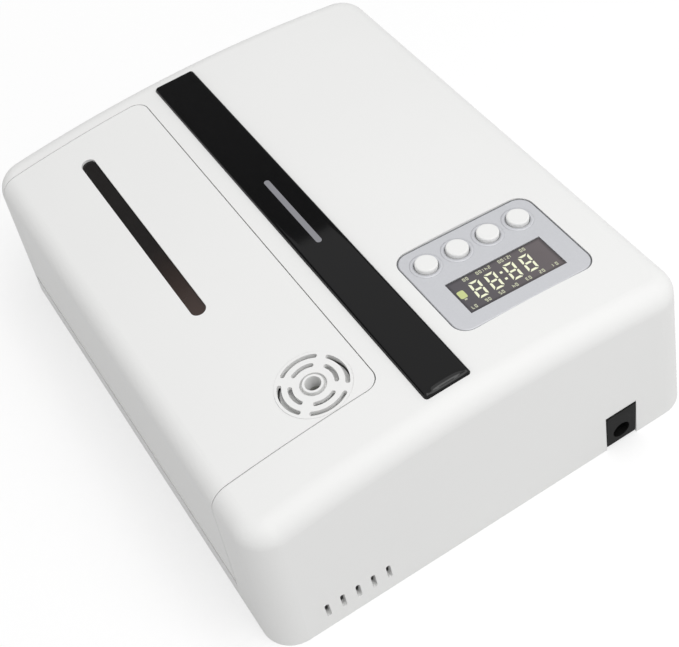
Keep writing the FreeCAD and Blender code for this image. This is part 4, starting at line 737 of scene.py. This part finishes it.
# Finishes of the pieces inside: the kind of finish, its name, colour, values and pieces.
WORKS = (
    # The bottle shows the bay through its amber wall; its neck parts are plain, dull plastics.
    (clear_bottle, "pet_bottle_clear", "#E6DFC8", {}, ("oil_bottle",)),
    (cast_plastic, "polypropylene_black", "#1C1C1D",
     {"roughness": 0.4, "size": 1.2 * MM}, ("bottle_collar",)),
    (cast_plastic, "acetal_grey", "#8C8E90",
     {"roughness": 0.38, "size": 1.2 * MM}, ("atomizer_body",)),
    (cast_plastic, "polythene_natural", "#D8D8D4",
     {"roughness": 0.45, "size": 1.2 * MM}, ("dip_tube",)),
    # Soft parts: milky silicone, black pads that take no light, and satin lead jackets.
    (soft_rubber, "silicone_milky", "#CFCFC9",
     {"roughness": 0.5}, ("air_hose", "bottle_gasket", "outlet_gasket")),
    (soft_rubber, "rubber_black", "#1E1E1E", {"roughness": 0.7}, ("pump_pads",)),
    (soft_rubber, "pvc_lead_jacket", "#1A1A1C",
     {"roughness": 0.5}, ("power_lead", "pump_lead", "light_lead")),
    # The pump: a bright steel can on a dark head.
    (plated_metal, "steel_motor_can", "#A9AAAA",
     {"roughness": 0.32, "size": 0.9 * MM}, ("pump_motor",)),
    (cast_plastic, "nylon_glass_filled", "#232425",
     {"roughness": 0.5, "size": 0.8 * MM}, ("pump_head",)),
    # Fasteners and catches: cool zinc, and warmer, shinier nickel on the magnets.
    (plated_metal, "steel_zinc_plated", "#B4B6B8", {"roughness": 0.28, "size": 0.8 * MM},
     ("pump_strap", "strap_screws", "board_screws", "light_screws", "case_screws", "hinge_pins",
      "keeper_discs")),
    (plated_metal, "magnet_nickel_plated", "#C6C6C2",
     {"roughness": 0.18, "size": 1.0 * MM}, ("door_magnets",)),
    # Electronics: green boards with cream plugs, black switches and yellow light chips.
    (circuit_board, "epoxy_board_green", "#1E5B38", {}, ("control_board", "light_board")),
    (cast_plastic, "nylon_natural_plug", "#DCD6C2",
     {"roughness": 0.45, "size": 1.0 * MM}, ("board_plugs",)),
    (cast_plastic, "phenolic_black_switch", "#1B1B1C",
     {"roughness": 0.4, "size": 1.0 * MM}, ("tact_switches", *PLUNGERS)),
    (cast_plastic, "phosphor_chip", "#E8DFA2",
     {"roughness": 0.35, "size": 1.0 * MM}, ("light_chips",)),
)


class DIFFUSER_OT_works(bpy.types.Operator):
    """Finish the pieces inside: oil parts, pump, boards, leads and fasteners"""
    bl_idname = "diffuser.works"
    bl_label = "Inner works"

    def execute(self, context):
        for make, name, colour, values, nodes in WORKS:
            dress(make(name, to_linear(colour), **values), *nodes)
        return {"FINISHED"}


def studio_sheet(name, corners):
    """A flat four-cornered sheet of the studio."""
    mesh = bpy.data.meshes.new(name)
    mesh.from_pydata(corners, [], [(0, 1, 2, 3)])
    sheet = bpy.data.objects.new(name, mesh)
    bpy.context.collection.objects.link(sheet)
    return sheet


def background_rays(tree):
    """The ray paths, and 1 for rays that meet the white background: camera, gloss and glass."""
    path = add_node(tree, "ShaderNodeLightPath")
    seen = add_node(tree, "ShaderNodeMath", {"operation": "MAXIMUM"},
                    _0=(path, "Is Camera Ray"), _1=(path, "Is Glossy Ray"))
    seen = add_node(tree, "ShaderNodeMath", {"operation": "MAXIMUM"},
                    _0=(seen, "Value"), _1=(path, "Is Transmission Ray"))
    return path, seen


def paper_floor(colour):
    """Studio paper that keeps the object's shadow and is white farther out."""
    far = FLOOR_HALF
    floor = studio_sheet("studio_floor", [(-far, -far, 0), (far, -far, 0), (far, far, 0),
                                          (-far, far, 0)])
    floor.location.z = CAD_LOW.z - FLOOR_GAP
    material, tree, shader = finish("studio_paper", colour, roughness=0.9)
    path, seen = background_rays(tree)
    # Away from the object the paper burns out to white, as under a studio's background lamps.
    place = add_node(tree, "ShaderNodeTexCoord")
    away = add_node(tree, "ShaderNodeVectorMath", {"operation": "LENGTH"}, _0=(place, "Object"))
    burn = add_node(tree, "ShaderNodeMapRange", Value=(away, "Value"),
                    From_Min=PAPER_NEAR, From_Max=PAPER_FAR,
                    To_Min=PAPER_NEAR_WHITE, To_Max=1.0)
    share = add_node(tree, "ShaderNodeMath", {"operation": "MULTIPLY"},
                     _0=(seen, "Value"), _1=(burn, "Result"))
    # Seen straight on the paper is white; the light that it gives back is that of its own grey.
    paper = add_node(tree, "ShaderNodeMix", COLOUR_BLEND,
                     _0=(path, "Is Camera Ray"), _6=(*colour, 1.0), _7=WHITE)
    tree.links.new(paper.outputs[BLENDED], shader.inputs["Base Color"])
    glow = add_node(tree, "ShaderNodeEmission", Color=WHITE, Strength=1.0)
    blend = add_node(tree, "ShaderNodeMixShader",
                     _0=(share, "Value"), _1=(shader, "BSDF"), _2=(glow, "Emission"))
    tree.links.new(blend.outputs["Shader"], tree.nodes["Material Output"].inputs["Surface"])
    floor.data.materials.append(material)


def white_world(scene):
    """White surroundings, dimmer for the light that they give than for what is seen of them."""
    world = bpy.data.worlds.new("studio_world")
    scene.world = world
    world.use_nodes = True
    sky = world.node_tree
    back = sky.nodes["Background"]
    back.inputs["Color"].default_value = WHITE
    seen = background_rays(sky)[1]
    level = add_node(sky, "ShaderNodeMapRange",
                     Value=(seen, "Value"), To_Min=WORLD_STRENGTH, To_Max=1.0)
    sky.links.new(level.outputs["Result"], back.inputs["Strength"])


def area_light(name, place, aim, width, height, power):
    """A soft box that faces a point."""
    data = bpy.data.lights.new(name, "AREA")
    data.shape = "RECTANGLE"
    data.size = width
    data.size_y = height
    data.energy = power
    lamp = bpy.data.objects.new(name, data)
    lamp.location = place
    lamp.rotation_mode = "QUATERNION"
    lamp.rotation_quaternion = (Vector(aim) - Vector(place)).to_track_quat("-Z", "Y")
    bpy.context.collection.objects.link(lamp)


def dark_card(middle):
    """A grey card beyond the object that only reflections see: it darkens the strip's far half."""
    y = middle.y + CARD_DISTANCE
    card = studio_sheet("grey_card", [(-CARD_HALF, y, 0), (CARD_HALF, y, 0),
                                      (CARD_HALF, y, CARD_TOP), (-CARD_HALF, y, CARD_TOP)])
    colour = to_linear("#979797")
    material, tree, shader = finish("studio_grey_card", colour, roughness=0.9)
    tone(tree, shader, colour, patch=200 * MM, change=0.05)
    card.data.materials.append(material)
    for ray in ("camera", "diffuse", "transmission", "volume_scatter", "shadow"):
        setattr(card, "visible_" + ray, False)


def photo_camera(scene):
    """The camera that stands where the photograph was taken."""
    data = bpy.data.cameras.new("photo_camera")
    data.lens = CAMERA_LENS
    data.sensor_width = CAMERA_SENSOR
    camera = bpy.data.objects.new("photo_camera", data)
    axes = Matrix((CAMERA_RIGHT, CAMERA_UP, CAMERA_BACK)).transposed()
    camera.matrix_world = Matrix.Translation(CAMERA_PLACE) @ axes.to_4x4()
    bpy.context.collection.objects.link(camera)
    scene.camera = camera


class DIFFUSER_OT_stage(bpy.types.Operator):
    """Set the floor, the soft light and the camera"""
    bl_idname = "diffuser.stage"
    bl_label = "Studio"

    def execute(self, context):
        scene = context.scene
        scene.view_settings.view_transform = "Standard"
        middle = (CAD_LOW + CAD_HIGH) / 2
        paper_floor(tuple(scene.diffuser_colours.floor))
        white_world(scene)
        for name, place, width, height, power in LAMPS:
            area_light(name, place, middle, width, height, power)
        dark_card(middle)
        photo_camera(scene)
        return {"FINISHED"}


class DIFFUSER_PT_pieces(bpy.types.Panel):
    """Shows the colours and sizes, and a button for each group of pieces"""
    bl_idname = "DIFFUSER_PT_pieces"
    bl_label = "Scent diffuser"
    bl_space_type = "VIEW_3D"
    bl_region_type = "UI"
    bl_category = "Diffuser"

    def draw(self, context):
        for group in (context.scene.diffuser_colours, context.scene.diffuser_sizes):
            box = self.layout.box()
            for name in group.bl_rna.properties.keys():
                if name not in ("rna_type", "name"):
                    box.prop(group, name)
        for operator in OPERATORS:
            self.layout.operator(operator.bl_idname)


OPERATORS = (DIFFUSER_OT_housing, DIFFUSER_OT_strip, DIFFUSER_OT_panel, DIFFUSER_OT_display,
             DIFFUSER_OT_socket, DIFFUSER_OT_works, DIFFUSER_OT_stage)
CLASSES = (DiffuserColours, DiffuserSizes, *OPERATORS, DIFFUSER_PT_pieces)


def register():
    for item in CLASSES:
        bpy.utils.register_class(item)
    bpy.types.Scene.diffuser_colours = PointerProperty(type=DiffuserColours)
    bpy.types.Scene.diffuser_sizes = PointerProperty(type=DiffuserSizes)


def unregister():
    del bpy.types.Scene.diffuser_sizes
    del bpy.types.Scene.diffuser_colours
    for item in reversed(CLASSES):
        bpy.utils.unregister_class(item)


def main():
    register()
    for name in ("housing", "strip", "panel", "display", "socket", "works", "stage"):
        getattr(bpy.ops.diffuser, name)()


if __name__ == "__main__":
    main()
